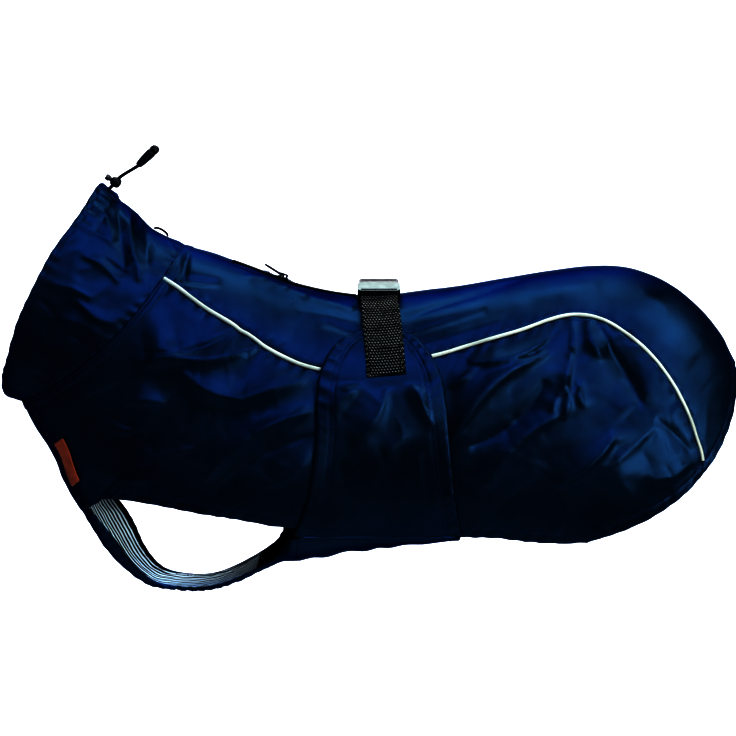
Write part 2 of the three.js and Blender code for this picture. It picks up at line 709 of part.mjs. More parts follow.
/** Turns a three.js geometry into a manifold solid. */
function toSolid(geometry) {
  const bare = geometry.clone();
  bare.deleteAttribute('normal');
  bare.deleteAttribute('uv');
  const merged = mergeVertices(bare, 1e-4);
  const mesh = new wasm.Mesh({
    numProp: 3,
    vertProperties: merged.getAttribute('position').array,
    triVerts: new Uint32Array(merged.getIndex().array),
  });
  return new wasm.Manifold(mesh);
}

/** Turns a manifold solid into a three.js geometry. */
function fromSolid(solid) {
  const mesh = solid.getMesh();
  const geometry = new THREE.BufferGeometry();
  const positions = new Float32Array((mesh.vertProperties.length / mesh.numProp) * 3);
  for (let i = 0; i < positions.length / 3; i++) {
    for (let k = 0; k < 3; k++) positions[3 * i + k] = mesh.vertProperties[mesh.numProp * i + k];
  }
  geometry.setAttribute('position', new THREE.BufferAttribute(positions, 3));
  geometry.setIndex(new THREE.BufferAttribute(new Uint32Array(mesh.triVerts), 1));
  const flat = geometry.toNonIndexed();
  flat.computeVertexNormals();
  return flat;
}

function boxAt(width, depth, height, x, y, z) {
  return new THREE.BoxGeometry(width, depth, height).translate(x, y, z);
}

/** An outline given as points, pushed out along Z by a height and centred on it. */
function plate(points, height, holes = []) {
  const shape = new THREE.Shape(points.map(([x, y]) => new THREE.Vector2(x, y)));
  for (const hole of holes) shape.holes.push(new THREE.Path(hole.map(([x, y]) => new THREE.Vector2(x, y))));
  const geometry = new THREE.ExtrudeGeometry(shape, { depth: height, bevelEnabled: false });
  return geometry.translate(0, 0, -height / 2);
}

// The slider's frame: its own X runs to the rear along the zip, its Z out of the cloth.
const sliderSection = sectionOfSpine(SLIDER.x);
const sliderSeat = clothPoint(sliderSection, 0, 0);
const sliderSlope = Math.atan2(
  bodyPoint(sliderSection - 0.3, 0).z - bodyPoint(sliderSection + 0.3, 0).z,
  bodyPoint(sliderSection + 0.3, 0).x - bodyPoint(sliderSection - 0.3, 0).x,
);

/** Places a piece that was drawn in the slider's frame. */
function onSlider(geometry) {
  return geometry.rotateY(sliderSlope).translate(sliderSeat.x, 0, sliderSeat.z);
}

const barHeight = SLIDER.lift + SLIDER.height + BRIDGE.opening / 2;

function slider() {
  const halfLength = SLIDER.length / 2;
  const halfWidth = SLIDER.width / 2;
  const outline = [
    [-halfLength, -halfWidth * 0.8], [-halfLength * 0.2, -halfWidth * 0.72], [halfLength, -halfWidth],
    [halfLength, halfWidth], [-halfLength * 0.2, halfWidth * 0.72], [-halfLength, halfWidth * 0.8],
  ];
  const body = plate(outline, SLIDER.height).translate(0, 0, SLIDER.lift + SLIDER.height / 2);
  const top = SLIDER.lift + SLIDER.height;
  const post = (x) => boxAt(1.3, BRIDGE.width, BRIDGE.opening + 1, x, 0, top + (BRIDGE.opening - 0.6) / 2);
  const roof = boxAt(BRIDGE.length, BRIDGE.width, BRIDGE.bar, 0, 0, top + BRIDGE.opening + BRIDGE.bar / 2 - 0.1);
  const reach = BRIDGE.length / 2 - 0.65;
  const solid = toSolid(body).add(toSolid(post(-reach))).add(toSolid(post(reach))).add(toSolid(roof));
  return onSlider(fromSolid(solid));
}

function zipPull() {
  const half = PULL.width / 2;
  const eye = PULL.eyeWidth / 2;
  const root = PULL.root / 2;
  const outline = [
    [root, -half * 0.8], [root, half * 0.8], [-PULL.eyeLength, half], [-PULL.length + 2, half * 0.8],
    [-PULL.length, half * 0.35], [-PULL.length, -half * 0.35], [-PULL.length + 2, -half * 0.8],
    [-PULL.eyeLength, -half],
  ];
  const hole = [[-root, -eye], [-root, eye], [-PULL.eyeLength, eye], [-PULL.eyeLength, -eye]];
  const tab = plate(outline, PULL.wall, [hole]);
  tab.rotateY(THREE.MathUtils.degToRad(PULL.raised));
  return onSlider(tab.translate(0, 0, barHeight));
}

/** Half of the belt: from the buckle down the side, on the wing. */
function webbing(side) {
  const rows = 16;
  const columns = 2;
  const startY = buckleEnd(side) + side * 0.5;
  const start = angleOfWidth(sectionOfSpine(WEBBING.topX), Math.abs(startY));
  const endPlace = locate(WEBBING.endX, WEBBING.endHeight, ...MIDDLE_PLACE)[1];
  const layer = (out) => (i, j) => {
    const f = i / rows;
    const angle = start + (endPlace - start) * f;
    const x = WEBBING.topX + (WEBBING.endX - WEBBING.topX) * f + WEBBING.width * (0.5 - j / columns) * side;
    const t = sectionThrough(x, angle);
    const n = outward(bodyPoint, t, side * angle);
    const drop = smooth((f - 0.02) / 0.42);
    const lift = WEBBING.buckleLift + (WEBBING.lift - WEBBING.buckleLift) * drop;
    return bodyPoint(t, side * angle).addScaledVector(n, lift + out);
  };
  return faceOutward(wall(rows, columns, layer(WEBBING_WALL), layer(0)));
}

/** Where the buckle ends on this side, as a Y. */
function buckleEnd(side) {
  const flat = (BUCKLE.length / 2) * Math.cos(THREE.MathUtils.degToRad(BUCKLE.tilt));
  return BUCKLE.middleY + side * flat;
}

/** Places a buckle piece that was drawn flat: its own Y runs along the belt to the right. */
function onBack(geometry) {
  geometry.translate(0, 0, BUCKLE.height / 2);
  geometry.rotateX(THREE.MathUtils.degToRad(BUCKLE.tilt));
  return geometry.translate(WEBBING.topX, BUCKLE.middleY, BUCKLE.bottom);
}

/** The slot that the webbing passes through. */
function webbingSlot(fromY, toY) {
  const half = BUCKLE.slotHalf;
  return [[-half, fromY], [half, fromY], [half, toY], [-half, toY]];
}

function buckleSocket() {
  const halfWidth = BUCKLE.width / 2;
  const end = -BUCKLE.length / 2;
  const outline = [
    [-halfWidth + 2, end], [halfWidth - 2, end], [halfWidth, end + 3], [halfWidth, 3], [halfWidth - 3, 8],
    [-halfWidth + 3, 8], [-halfWidth, 3], [-halfWidth, end + 3],
  ];
  const slot = webbingSlot(end + BUCKLE.slotFrom, end + BUCKLE.slotTo);
  const shell = toSolid(plate(outline, BUCKLE.height, [slot]));
  const hollow = BUCKLE.height - 2 * BUCKLE.wall;
  const cavity = toSolid(boxAt(BUCKLE.width - 8, 30, hollow, 0, 2, 0));
  const windows = toSolid(boxAt(BUCKLE.width + 4, 11, hollow, 0, -6, 0));
  return onBack(fromSolid(shell.subtract(cavity).subtract(windows)));
}

function bucklePlug() {
  const halfWidth = BUCKLE.width / 2;
  const end = BUCKLE.length / 2;
  const bar = [
    [-halfWidth + 1, 9], [halfWidth - 1, 9], [halfWidth - 1, end - 2], [halfWidth - 3, end], [-halfWidth + 3, end],
    [-halfWidth + 1, end - 2],
  ];
  const slot = webbingSlot(end - BUCKLE.slotTo, end - BUCKLE.slotFrom);
  const base = toSolid(plate(bar, BUCKLE.height - 1.5, [slot]));
  const inside = BUCKLE.height - 2 * BUCKLE.wall - 1;
  const guide = toSolid(boxAt(5, 20, inside, 0, 0, 0));
  const prong = toSolid(plate([
    [7.5, 12], [11, 12], [11.2, -2], [14.8, -2], [14.2, -8], [8.6, -10], [7.8, -4],
  ], inside));
  const both = prong.add(prong.mirror([1, 0, 0]));
  return onBack(fromSolid(base.add(guide).add(both)));
}

/** One strand's route: out of the eyelet, through the lock and into the cord end. */
function cordRoute(side) {
  const tip = new THREE.Vector3(...CORD_END.tip);
  const root = new THREE.Vector3(...CORD_END.root);
  const along = tip.clone().sub(root).normalize();
  const angle = -EYELET.angle + side * EYELET.apart;
  const seat = collarCloth(EYELET.along, angle, CASING_EXTRA);
  const out = outward(collarPoint, EYELET.along, angle).negate();
  const spread = side * STRAND_SPREAD;
  return [
    seat.clone().addScaledVector(out, EYELET.lift),
    new THREE.Vector3(LOCK.x, spread, LOCK.z),
    new THREE.Vector3(LOCK.x + 4.4, spread, LOCK.z + 4.6),
    root.clone().addScaledVector(along, -0.7).add(new THREE.Vector3(0, spread, 0)),
  ];
}

function cordTube(side, radius = CORD_RADIUS) {
  const curve = new THREE.CatmullRomCurve3(cordRoute(side));
  return tubeAlong(curve, radius, 8, 14);
}

/** A tube along a curve. */
function tubeAlong(curve, radius, sides, steps) {
  const corners = [];
  for (let k = 0; k < sides; k++) {
    const turn = (2 * Math.PI * k) / sides;
    corners.push(new THREE.Vector2(radius * Math.cos(turn), radius * Math.sin(turn)));
  }
  const section = new THREE.Shape(corners);
  return new THREE.ExtrudeGeometry(section, { steps, extrudePath: curve, bevelEnabled: false });
}

/** A turned solid along a line: rows of distance along and radius. */
function turned(profile, from, to, segments = 12) {
  const points = profile.map(([along, radius]) => new THREE.Vector2(radius, along));
  const geometry = new THREE.LatheGeometry(points, segments);
  const direction = to.clone().sub(from).normalize();
  const turn = new THREE.Quaternion().setFromUnitVectors(new THREE.Vector3(0, 1, 0), direction);
  return faceOutward(geometry.applyQuaternion(turn).translate(from.x, from.y, from.z).toNonIndexed());
}

function cordLock() {
  const half = LOCK.length / 2;
  const profile = [
    [-half, 0], [-half, LOCK.radius * 0.7], [-half * 0.6, LOCK.radius], [half * 0.6, LOCK.radius],
    [half, LOCK.radius * 0.7], [half, 0],
  ];
  const middle = new THREE.Vector3(LOCK.x, 0, LOCK.z);
  const axis = new THREE.Vector3(...LOCK.axis);
  const body = turned(profile, middle, middle.clone().add(axis));
  const solid = toSolid(body).subtract(toSolid(cordTube(-1, CORD_RADIUS + 0.35)));
  return fromSolid(solid.subtract(toSolid(cordTube(1, CORD_RADIUS + 0.35))));
}

function lockPlunger() {
  const middle = new THREE.Vector3(LOCK.x, 0, LOCK.z);
  const axis = new THREE.Vector3(...LOCK.axis).normalize();
  const start = middle.clone().addScaledVector(axis, LOCK.length / 2 + 0.3);
  const profile = [[0, 0], [0, 2.4], [3.4, 2.4], [4, 1.8], [4, 0]];
  return turned(profile, start, start.clone().add(axis), 8);
}

function cordEnd() {
  const root = new THREE.Vector3(...CORD_END.root);
  const tip = new THREE.Vector3(...CORD_END.tip);
  const length = tip.distanceTo(root);
  const r = CORD_END.radius;
  const profile = [
    [0, 0], [0, r * 0.95], [length * 0.08, r], [length * 0.3, r * 0.72], [length * 0.45, r * 0.78],
    [length * 0.85, r * 1.02], [length * 0.97, r * 0.85], [length, 0],
  ];
  return turned(profile, root, tip, 12);
}

/** The small cord loop on the back of the collar. */
function collarLoop() {
  const points = [];
  for (let k = 0; k <= 6; k++) {
    const turn = (Math.PI * k) / 6;
    const along = LOOP.along - LOOP.reach * Math.cos(turn);
    points.push(collarCloth(along, 0, LOOP.radius + SEAM_GAP - 0.05 + LOOP.height * Math.sin(turn)));
  }
  return tubeAlong(new THREE.CatmullRomCurve3(points), LOOP.radius, 6, 10);
}

function label() {
  const rows = 4;
  const columns = 3;
  const layer = (out) => (i, j) => {
    const t = LABEL.from + ((LABEL.to - LABEL.from) * i) / rows;
    const end = sectionAt(t).end;
    const distance = LABEL.near + ((LABEL.far - LABEL.near) * j) / columns;
    return clothPoint(t, -(end - angleStep(t, end, distance)), out);
  };
  return faceOutward(wall(rows, columns, layer(LABEL.lift + LABEL.wall), layer(LABEL.lift)));
}

addPart('back_panel', faceOutward(backPanel()), COLOURS.shell, 0.45);
addPart('chest_panel', faceOutward(chestPanel()), COLOURS.shell, 0.45);
addPart('collar', faceOutward(collar()), COLOURS.shell, 0.45);
addPart('chest_strap', strap(), COLOURS.shell, 0.45);
addPart('strap_lining', strapLining(), COLOURS.lining, 0.8);
addPart('belly_panel', belly(), COLOURS.shell, 0.45);
for (const [hand, side] of [['left', -1], ['right', 1]]) {
  addPart(`side_panel_${hand}`, faceOutward(sidePanel(side)), COLOURS.shell, 0.45);
  addPart(`piping_${hand}`, piping(side), COLOURS.piping, 0.4);
  addPart(`wing_${hand}`, wing(side), COLOURS.shell, 0.45);
  addPart(`webbing_${hand}`, webbing(side), COLOURS.webbing, 0.9);
  addPart(`zip_tape_${hand}`, spineStrip(
    ZIP.front + 0.6, ZIP.rear - 0.6, side * ZIP.tapeInner, side * (ZIP.halfSlit - 0.5),
    -ZIP.tapeDrop, ZIP.tapeWall, 12,
  ), COLOURS.black, 0.8);
  addPart(`drawcord_${hand}`, faceOutward(cordTube(side)), COLOURS.black, 0.8);
}
addPart('zip_chain', spineStrip(
  ZIP.front + 0.6, ZIP.rear - 0.6, -CHAIN.halfWidth, CHAIN.halfWidth, CHAIN.top, CHAIN.height, 12,
), COLOURS.black, 0.4);
addPart('zip_slider', slider(), COLOURS.black, 0.35, 0.6);
addPart('zip_pull', zipPull(), COLOURS.black, 0.35, 0.6);
addPart('buckle_socket', buckleSocket(), COLOURS.buckle, 0.4);
addPart('buckle_plug', bucklePlug(), COLOURS.black, 0.4);
addPart('cord_lock', cordLock(), COLOURS.black, 0.4);
addPart('cord_lock_plunger', lockPlunger(), COLOURS.black, 0.4);
addPart('cord_end', cordEnd(), COLOURS.black, 0.45);
addPart('collar_loop', faceOutward(collarLoop()), COLOURS.black, 0.8);
addPart('label_patch', label(), COLOURS.leather, 0.6);

export default group;
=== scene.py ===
"""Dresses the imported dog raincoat: creased cloth, stitching, belt, zip, drawcord, and the studio round it."""
import logging
import math
from dataclasses import dataclass, field
from enum import Enum
from typing import Callable, Sequence

import bmesh
import bpy
import numpy as np
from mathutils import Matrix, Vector


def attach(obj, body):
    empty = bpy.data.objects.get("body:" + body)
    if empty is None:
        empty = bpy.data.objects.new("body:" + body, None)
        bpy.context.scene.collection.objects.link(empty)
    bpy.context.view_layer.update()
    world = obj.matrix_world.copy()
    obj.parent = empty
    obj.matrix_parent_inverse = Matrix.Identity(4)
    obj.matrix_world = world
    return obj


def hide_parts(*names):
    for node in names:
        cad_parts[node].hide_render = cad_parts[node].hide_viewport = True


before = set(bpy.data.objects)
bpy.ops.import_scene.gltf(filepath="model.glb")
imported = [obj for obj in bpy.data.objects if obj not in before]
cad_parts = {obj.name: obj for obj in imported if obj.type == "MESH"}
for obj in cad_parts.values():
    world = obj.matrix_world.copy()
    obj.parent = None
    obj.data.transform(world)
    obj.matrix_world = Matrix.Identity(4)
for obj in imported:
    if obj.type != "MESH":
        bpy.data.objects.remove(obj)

LOG = logging.getLogger("raincoat")
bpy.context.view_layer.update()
MM = 0.001
# A cut is this much larger than what shows, and a cloth's edge rounds out by this share of its wall.
CUT_MARGIN = 1.01
EDGE_BULGE = 0.38
COAT = "coat"
PULL_TAB = "zip_pull"

# The body's cross sections, in millimetres: spine point, lower edge, half widths and side bow.
SECTIONS = np.array([
    (-151, 41, -268, -74, 30, 56, 9, -8),
    (-128, 34.8, -261, -91, 30, 59, 6, -5),
    (-105, 27, -247, -116, 30, 62, 4, -3),
    (-82, 18, -239, -139, 30, 65, 2, -2),
    (-74, 15, -227.5, -158.5, 30, 66, 0, 0),
    (-66, 12, -213, -149.5, 46, 67, 0, 0),
    (-57, 9.8, -194, -147.5, 58, 69, 0, 0),
    (-45, 7, -166, -150.5, 66, 71, 0, 0),
    (-34, 5, -136, -155.5, 70, 73, 0, 0),
    (-23, 3.5, -106, -160.5, 70, 74, 0, 0),
    (-12, 2.3, -70, -167, 68, 74, 0, 0),
    (2, 1.7, -16, -172, 63, 74, 0, 0),
    (33, 5.8, 26, -173.8, 62, 74, 0, 0),
    (62, 9.3, 58, -174.5, 64, 75, 0, 0),
    (94, 14.9, 88, -175.5, 66, 76, 1, 0),
    (127, 20.4, 111, -177.5, 68, 77, 3, -1),
    (162, 24.8, 124, -178.4, 70, 78.5, 7, -2),
    (194, 23.4, 132, -178.4, 71, 79.5, 13.5, -4.5),
    (225, 11.5, 138.5, -178.2, 72, 80, 19, -8),
    (248.5, -8, 145, -177.8, 73, 80, 22.5, -11.5),
    (264.5, -27.5, 150.5, -177, 74, 79, 24.5, -14.5),
    (274, -46, 155, -176.3, 75, 78, 24.5, -17.2),
], float)
PIPING_LINE = (
    (-165.5, 20.7), (-136, 1), (-113, -13), (-90, -28.5), (-67.5, -40.5), (-45, -47), (-22, -48.5),
    (0, -46), (41, -36.5), (67, -29), (104, -18.5), (127, -10.5), (142, -7), (157, -7.5), (168, -10.5),
    (182, -18.5), (201, -34), (215.5, -52), (227, -72), (236.5, -96.5), (241.5, -114.5),
)
# The collar's rings: top point, front point, half width, roundness and bow.
COLLAR_RINGS = np.array([
    (-151, 41, -279, -80, 56, 2.3, 10, -9),
    (-174, 53, -290, -76.5, 52, 2.2, 3, -3),
    (-191.5, 68.5, -294.5, -70.5, 49, 2.15, -2, 0),
    (-216.5, 86.5, -294, -61.5, 46, 2.1, -5.2, 2.5),
], float)
# The strap between the front legs: middle point, edge point and the edge's distance from the middle plane.
UNDERBODY = np.array([
    (-234.5, -169, -222, -157, 30),
    (-227, -182.5, -214.5, -171, 27.5),
    (-217, -197.5, -206, -186.5, 25),
    (-201.5, -213.5, -194.5, -204.5, 23),
    (-182, -226.5, -177.5, -220, 22),
    (-157.5, -229.5, -156.5, -225.5, 22),
    (-134, -229.2, -133, -225, 23),
    (-112, -223, -111, -217, 26),
    (-92, -213, -90, -205, 31),
    (-78, -206.8, -75.5, -192.5, 43),
    (-66, -203.5, -66, -176, 66),
], float)
# The belly's middle line: x and height.
BELLY_MIDDLE = np.array([
    (-65.3, -203.5), (-45, -199.5), (-20, -195), (8, -190.5), (36, -187), (62, -182),
], float)
# The wings in the side view: height, front edge and rear edge.
WING_OUTLINE = np.array([
    (-20.5, -8, 11), (-21.8, -17, 19), (-25, -26, 26.5), (-30, -33, 32), (-37, -39, 37.5), (-50, -45, 44),
    (-68, -47.5, 48), (-98, -47.5, 51), (-135, -52, 54.5), (-158, -59, 58), (-172, -65, 61),
], float)

# Creases in the side view: start x and z, end x and z, half width and height.
LEFT_FOLDS = (
    (50, -60, 69.5, -48, 4, 3), (56.4, -93.2, 119.9, -36.7, 9, 7.5), (69.5, -41.4, 128.4, -21.8, 8, 4),
    (102.3, -39.2, 130.6, -19.6, 3, -3), (144, -10.6, 141.8, -36.9, 3, 2.6),
    (141.8, -36.9, 132.9, -65.5, 3, 2.6), (132.9, -65.5, 128.4, -76.8, 3, 2.2),
    (156, -12, 163.4, -35.4, 8, 4), (161.9, -12.8, 172.3, -30.1, 2.5, -2),
    (137.3, -52.7, 137.3, -81.3, 4, 3), (148.5, -57.2, 150.7, -72.3, 4, 3),
    (172.3, -32.4, 193.2, -68.5, 12, -6), (135.1, -130.2, 172.3, -97.1, 9, 7),
    (178, -110, 184, -138, 16, 4), (80.7, -132.5, 128.4, -81.3, 8, 5),
    (70.3, -102.4, 122.4, -57.2, 8, -4), (205, -128, 228, -118, 8, 2.5),
    (-175.6, -42.9, -151, -38.4, 13, 6), (-151, -38.4, -92, -28.6, 13, 6),
    (-146.5, -51, -104.8, -69, 14, 7), (-104.8, -69, -51, -51, 14, 7),
    (-129.4, -126.4, -51.2, -76.8, 9, 7), (-82.5, -132.5, -51.2, -107.6, 6, 4),
    (-189.7, -71.5, -164.4, -71.5, 8, 4), (-206, -128, -172, -128, 14, 4), (-206, -91, -180, -91, 9, 3),
    (-172, -35, -105, -16, 4, -1.8), (-202, -84, -172, -106, 4, -1.6), (-217, -68, -187, -53, 4, -1.6),
    (-179, -121, -142, -106, 5, 2), (208, -84, 230, -106, 5, -1.6), (163, -121, 201, -91, 6, 1.8),
    (92, -150, 118, -128, 5, -1.6), (-123, -138, -47, -94, 3.5, -2),
)
RIGHT_FOLDS = (
    (52, -66, 74, -50, 4, 3), (58, -100, 112, -42, 9, 7), (66, -46, 120, -24, 8, 4),
    (98, -44, 128, -24, 3, -2.6), (150, -12, 148, -44, 3, 2.6), (148, -44, 137, -80, 3, 2.4),
    (162, -16, 172, -40, 8, 4), (142, -60, 141, -88, 4, 3), (170, -28, 194, -66, 12, -6),
    (140, -124, 178, -92, 9, 6.5), (184, -112, 190, -140, 16, 4), (86, -138, 126, -88, 8, 5),
    (72, -110, 118, -64, 8, -4), (-180, -36, -96, -24, 13, 6), (-150, -58, -104, -74, 14, 7),
    (-104, -74, -52, -58, 14, 6.5), (-122, -122, -52, -80, 9, 7), (-92, -134, -56, -106, 6, 4),
    (-194, -78, -166, -74, 8, 4), (-208, -122, -176, -128, 14, 4), (-166, -28, -104, -36, 4, -1.8),
    (-206, -88, -176, -100, 4, -1.6), (204, -88, 226, -104, 5, -1.6), (100, -148, 126, -124, 5, -1.6),
)
COLLAR_FOLDS = (
    (-208.1, 65.4, -202.4, 48.8, 5, 3), (-191.6, 67.6, -188.3, 38.3, 6, 4.2),
    (-188.3, 38.3, -181.9, 19.4, 6, 3.8), (-200, 68, -193, 30, 5, -3.2), (-183, 66, -176, 30, 6, -3),
    (-244.5, 14.9, -219.8, 6.6, 7, 3.6), (-226.6, 2, -195.2, -14.7, 7, 3.4),
    (-245.8, -10.1, -206, -26.9, 8, 4), (-222, 36, -198, 18, 5, 3), (-215, 53, -200, 42, 4, 1.8),
    (-207, 34, -192, 23, 4, -2.4), (-240, -19, -219, -34, 5, -2.2), (-264, -30, -241, -51, 6, 2.2),
    (-256, 4, -241, -15, 4, -1.8), (-270, -52, -252, -60, 4, -1.4),
)
WING_FOLDS = (
    (-34, -77.5, -13.9, -57.2, 6, 3.5), (20.4, -57.2, 32.3, -72.3, 6, 3.5), (-18, -97, 4, -64, 7, 3.4),
    (24, -68, 38, -86, 7, 3), (-6, -128, 16, -100, 8, 2.4), (-30, -121, -23, -159, 5, -1.2),
    (29, -114, 37, -159, 5, 1.4), (-8, -53, 14, -55, 3, -1.6), (0, -106, 11, -159, 6, -1.1),
)

# Thin drag lines that run back over the top from the belt.
FINE_BACK = (
    (18, -10, 70, 5, 2.5, -1.2), (70, 5, 109, 17, 2.5, -1), (23, -21, 78, -5, 2.5, -1),
    (-40, -14, -14, -24, 3, -1), (-60, -6, -16, -14, 3, 0.9), (30, -30, 90, -12, 3, 0.8),
    (200, 6, 216, 0, 4, 0.9), (120, 6, 160, 14, 5, 0.6), (-100.6, 18.7, -89.2, 17.2, 2.5, 1.6),
    (-89.2, 17.2, -71.8, 10.3, 2.5, 1.7), (-71.8, 10.3, -57.3, 4.2, 2.5, 1.7),
    (-57.3, 4.2, -22.3, -5, 2.5, 1.4), (-147.6, 36.3, -148.5, 18.7, 3, -2),
    (-148.5, 18.7, -124.2, 15.7, 3, -2),
)


class Side(Enum):
    """The dog's left or right side."""

    LEFT = -1
    RIGHT = 1

    @property
    def hand(self) -> str:
        """The side's name as it ends a node's name."""
        return self.name.lower()


class Held(Enum):
    """How a piece of cloth is held."""

    WORN = "draped"
    GATHERED = "gathered"
    TAUT = "stretched"


def smooth_step(x: np.ndarray) -> np.ndarray:
    """Eases from 0 to 1."""
    s = np.clip(x, 0, 1)
    return s * s * (3 - 2 * s)


def bell(x: np.ndarray) -> np.ndarray:
    """A bell curve, 1 in the middle."""
    return np.exp(-(x ** 2))


def full_turn(steps: int) -> np.ndarray:
    """Evenly spaced angles of one whole turn."""
    return np.linspace(0, 2 * math.pi, steps, endpoint=False)


def unit(v: np.ndarray) -> np.ndarray:
    """Scales vectors to length one."""
    return v / np.maximum(np.linalg.norm(v, axis=-1, keepdims=True), 1e-9)


def ease_between(f: np.ndarray, a: np.ndarray, b: np.ndarray, slope_a: np.ndarray,
                 slope_b: np.ndarray) -> np.ndarray:
    """Runs from one value to the next on a smooth curve.

    Args:
        f: Share of the way.
        a: The value at 0.
        b: The value at 1.
        slope_a: The slope at 0.
        slope_b: The slope at 1.

    Returns:
        The values.
    """
    f2 = f * f
    f3 = f2 * f
    rise = 3 * f2 - 2 * f3
    return (1 - rise) * a + (f3 - 2 * f2 + f) * slope_a + rise * b + (f3 - f2) * slope_b


def read_table(rows: np.ndarray, at: np.ndarray) -> np.ndarray:
    """Reads a table between its rows, on a curve through them.

    Args:
        rows: The table.
        at: Places, where 1.5 is halfway from the second row to the third.

    Returns:
        The values, with the table's columns in the last axis.
    """
    at = np.asarray(at, float)
    last = len(rows) - 1
    i = np.clip(np.floor(at).astype(int), 0, last - 1)
    f = (at - i)[..., None]
    a, b = rows[i], rows[i + 1]
    before, after = rows[np.maximum(i - 1, 0)], rows[np.minimum(i + 2, last)]
    slope_a = np.where((i > 0)[..., None], (b - before) / 2, b - a)
    slope_b = np.where((i + 2 <= last)[..., None], (after - a) / 2, b - a)
    return ease_between(f, a, b, slope_a, slope_b)


def round_power(value: np.ndarray, roundness: np.ndarray | float) -> np.ndarray:
    """Squares off a round."""
    return np.sign(value) * np.abs(value) ** (2 / roundness)


def crease_height(rows: Sequence[tuple], x: np.ndarray, z: np.ndarray) -> np.ndarray:
    """Adds up how far the creases of a table lift the cloth.

    Args:
        rows: Creases in the side view.
        x: Places along the coat.
        z: Heights.

    Returns:
        The lift in millimetres.
    """
    total = np.zeros(np.broadcast(x, z).shape)
    for x0, z0, x1, z1, width, height in rows:
        dx, dz = x1 - x0, z1 - z0
        f = np.clip(((x - x0) * dx + (z - z0) * dz) / (dx * dx + dz * dz), 0, 1)
        away = np.hypot(x - x0 - f * dx, z - z0 - f * dz)
        ends = 0.45 + 0.55 * np.sin(math.pi * (0.12 + 0.76 * f))
        total += height * ends * bell(away / width)
    return total


def crisp_creases(rows: Sequence[tuple], x: np.ndarray, z: np.ndarray) -> np.ndarray:
    """Adds up creases with a crisp line and one steeper flank, as coated cloth has.

    Args:
        rows: Creases in the side view.
        x: Places along the coat.
        z: Heights.

    Returns:
        The lift in millimetres.
    """
    total = np.zeros(np.broadcast(x, z).shape)
    for x0, z0, x1, z1, width, height in rows:
        dx, dz = x1 - x0, z1 - z0
        length = math.hypot(dx, dz)
        f = np.clip(((x - x0) * dx + (z - z0) * dz) / (length * length), 0, 1)
        wander = 0.10 * length * np.sin(math.pi * f) * math.sin(x0 * 0.37 + z0 * 0.21)
        off_x = x - x0 - f * dx + wander * dz / length
        off_z = z - z0 - f * dz - wander * dx / length
        away = np.hypot(off_x, off_z)
        above = np.tanh(off_z / (0.4 * width))
        flank = 0.72 + 0.28 * above * math.copysign(1, height)
        u = away / (width * flank * (0.55 + 0.45 * np.sin(math.pi * f)))
        ends = 0.4 + 0.6 * np.sin(math.pi * (0.1 + 0.8 * f))
        total += height * ends * np.exp(-u * u / (0.35 + u))
    return total


def ridged(p: np.ndarray, size: float, seed: float) -> np.ndarray:
    """Short crisp wrinkles that cross each other, the same in each run.

    Args:
        p: Points.
        size: The wrinkles' length in millimetres.
        seed: Picks the pattern.

    Returns:
        Heights from 0 to 1.
    """
    first = crumple(p, size, seed)
    other = crumple(p, size * 0.61, seed + 2.7)
    return np.maximum(0, 1 - 2.6 * np.abs(first)) * (0.35 + 0.65 * smooth_step(other + 0.5))


def crumple(p: np.ndarray, size: float, seed: float) -> np.ndarray:
    """Soft uneven ripples of handled cloth, the same in each run.

    Args:
        p: Points.
        size: The ripples' length in millimetres.
        seed: Picks the pattern.

    Returns:
        Heights from about -1 to 1.
    """
    q = p / size
    x, y, z = q[..., 0], q[..., 1], q[..., 2]
    bend = np.sin(1.3 * x + 0.7 * z + seed) + np.sin(0.9 * y - 1.1 * z + 2.1 * seed)
    first = np.sin(2.1 * x + 1.7 * z + 1.6 * bend + seed)
    second = np.sin(-1.6 * x + 2.4 * z + 1.2 * y + 1.3 * bend + 3 * seed)
    return 0.6 * first * second + 0.4 * np.sin(3.3 * x + 0.6 * y - 1.9 * z + 2 * bend)


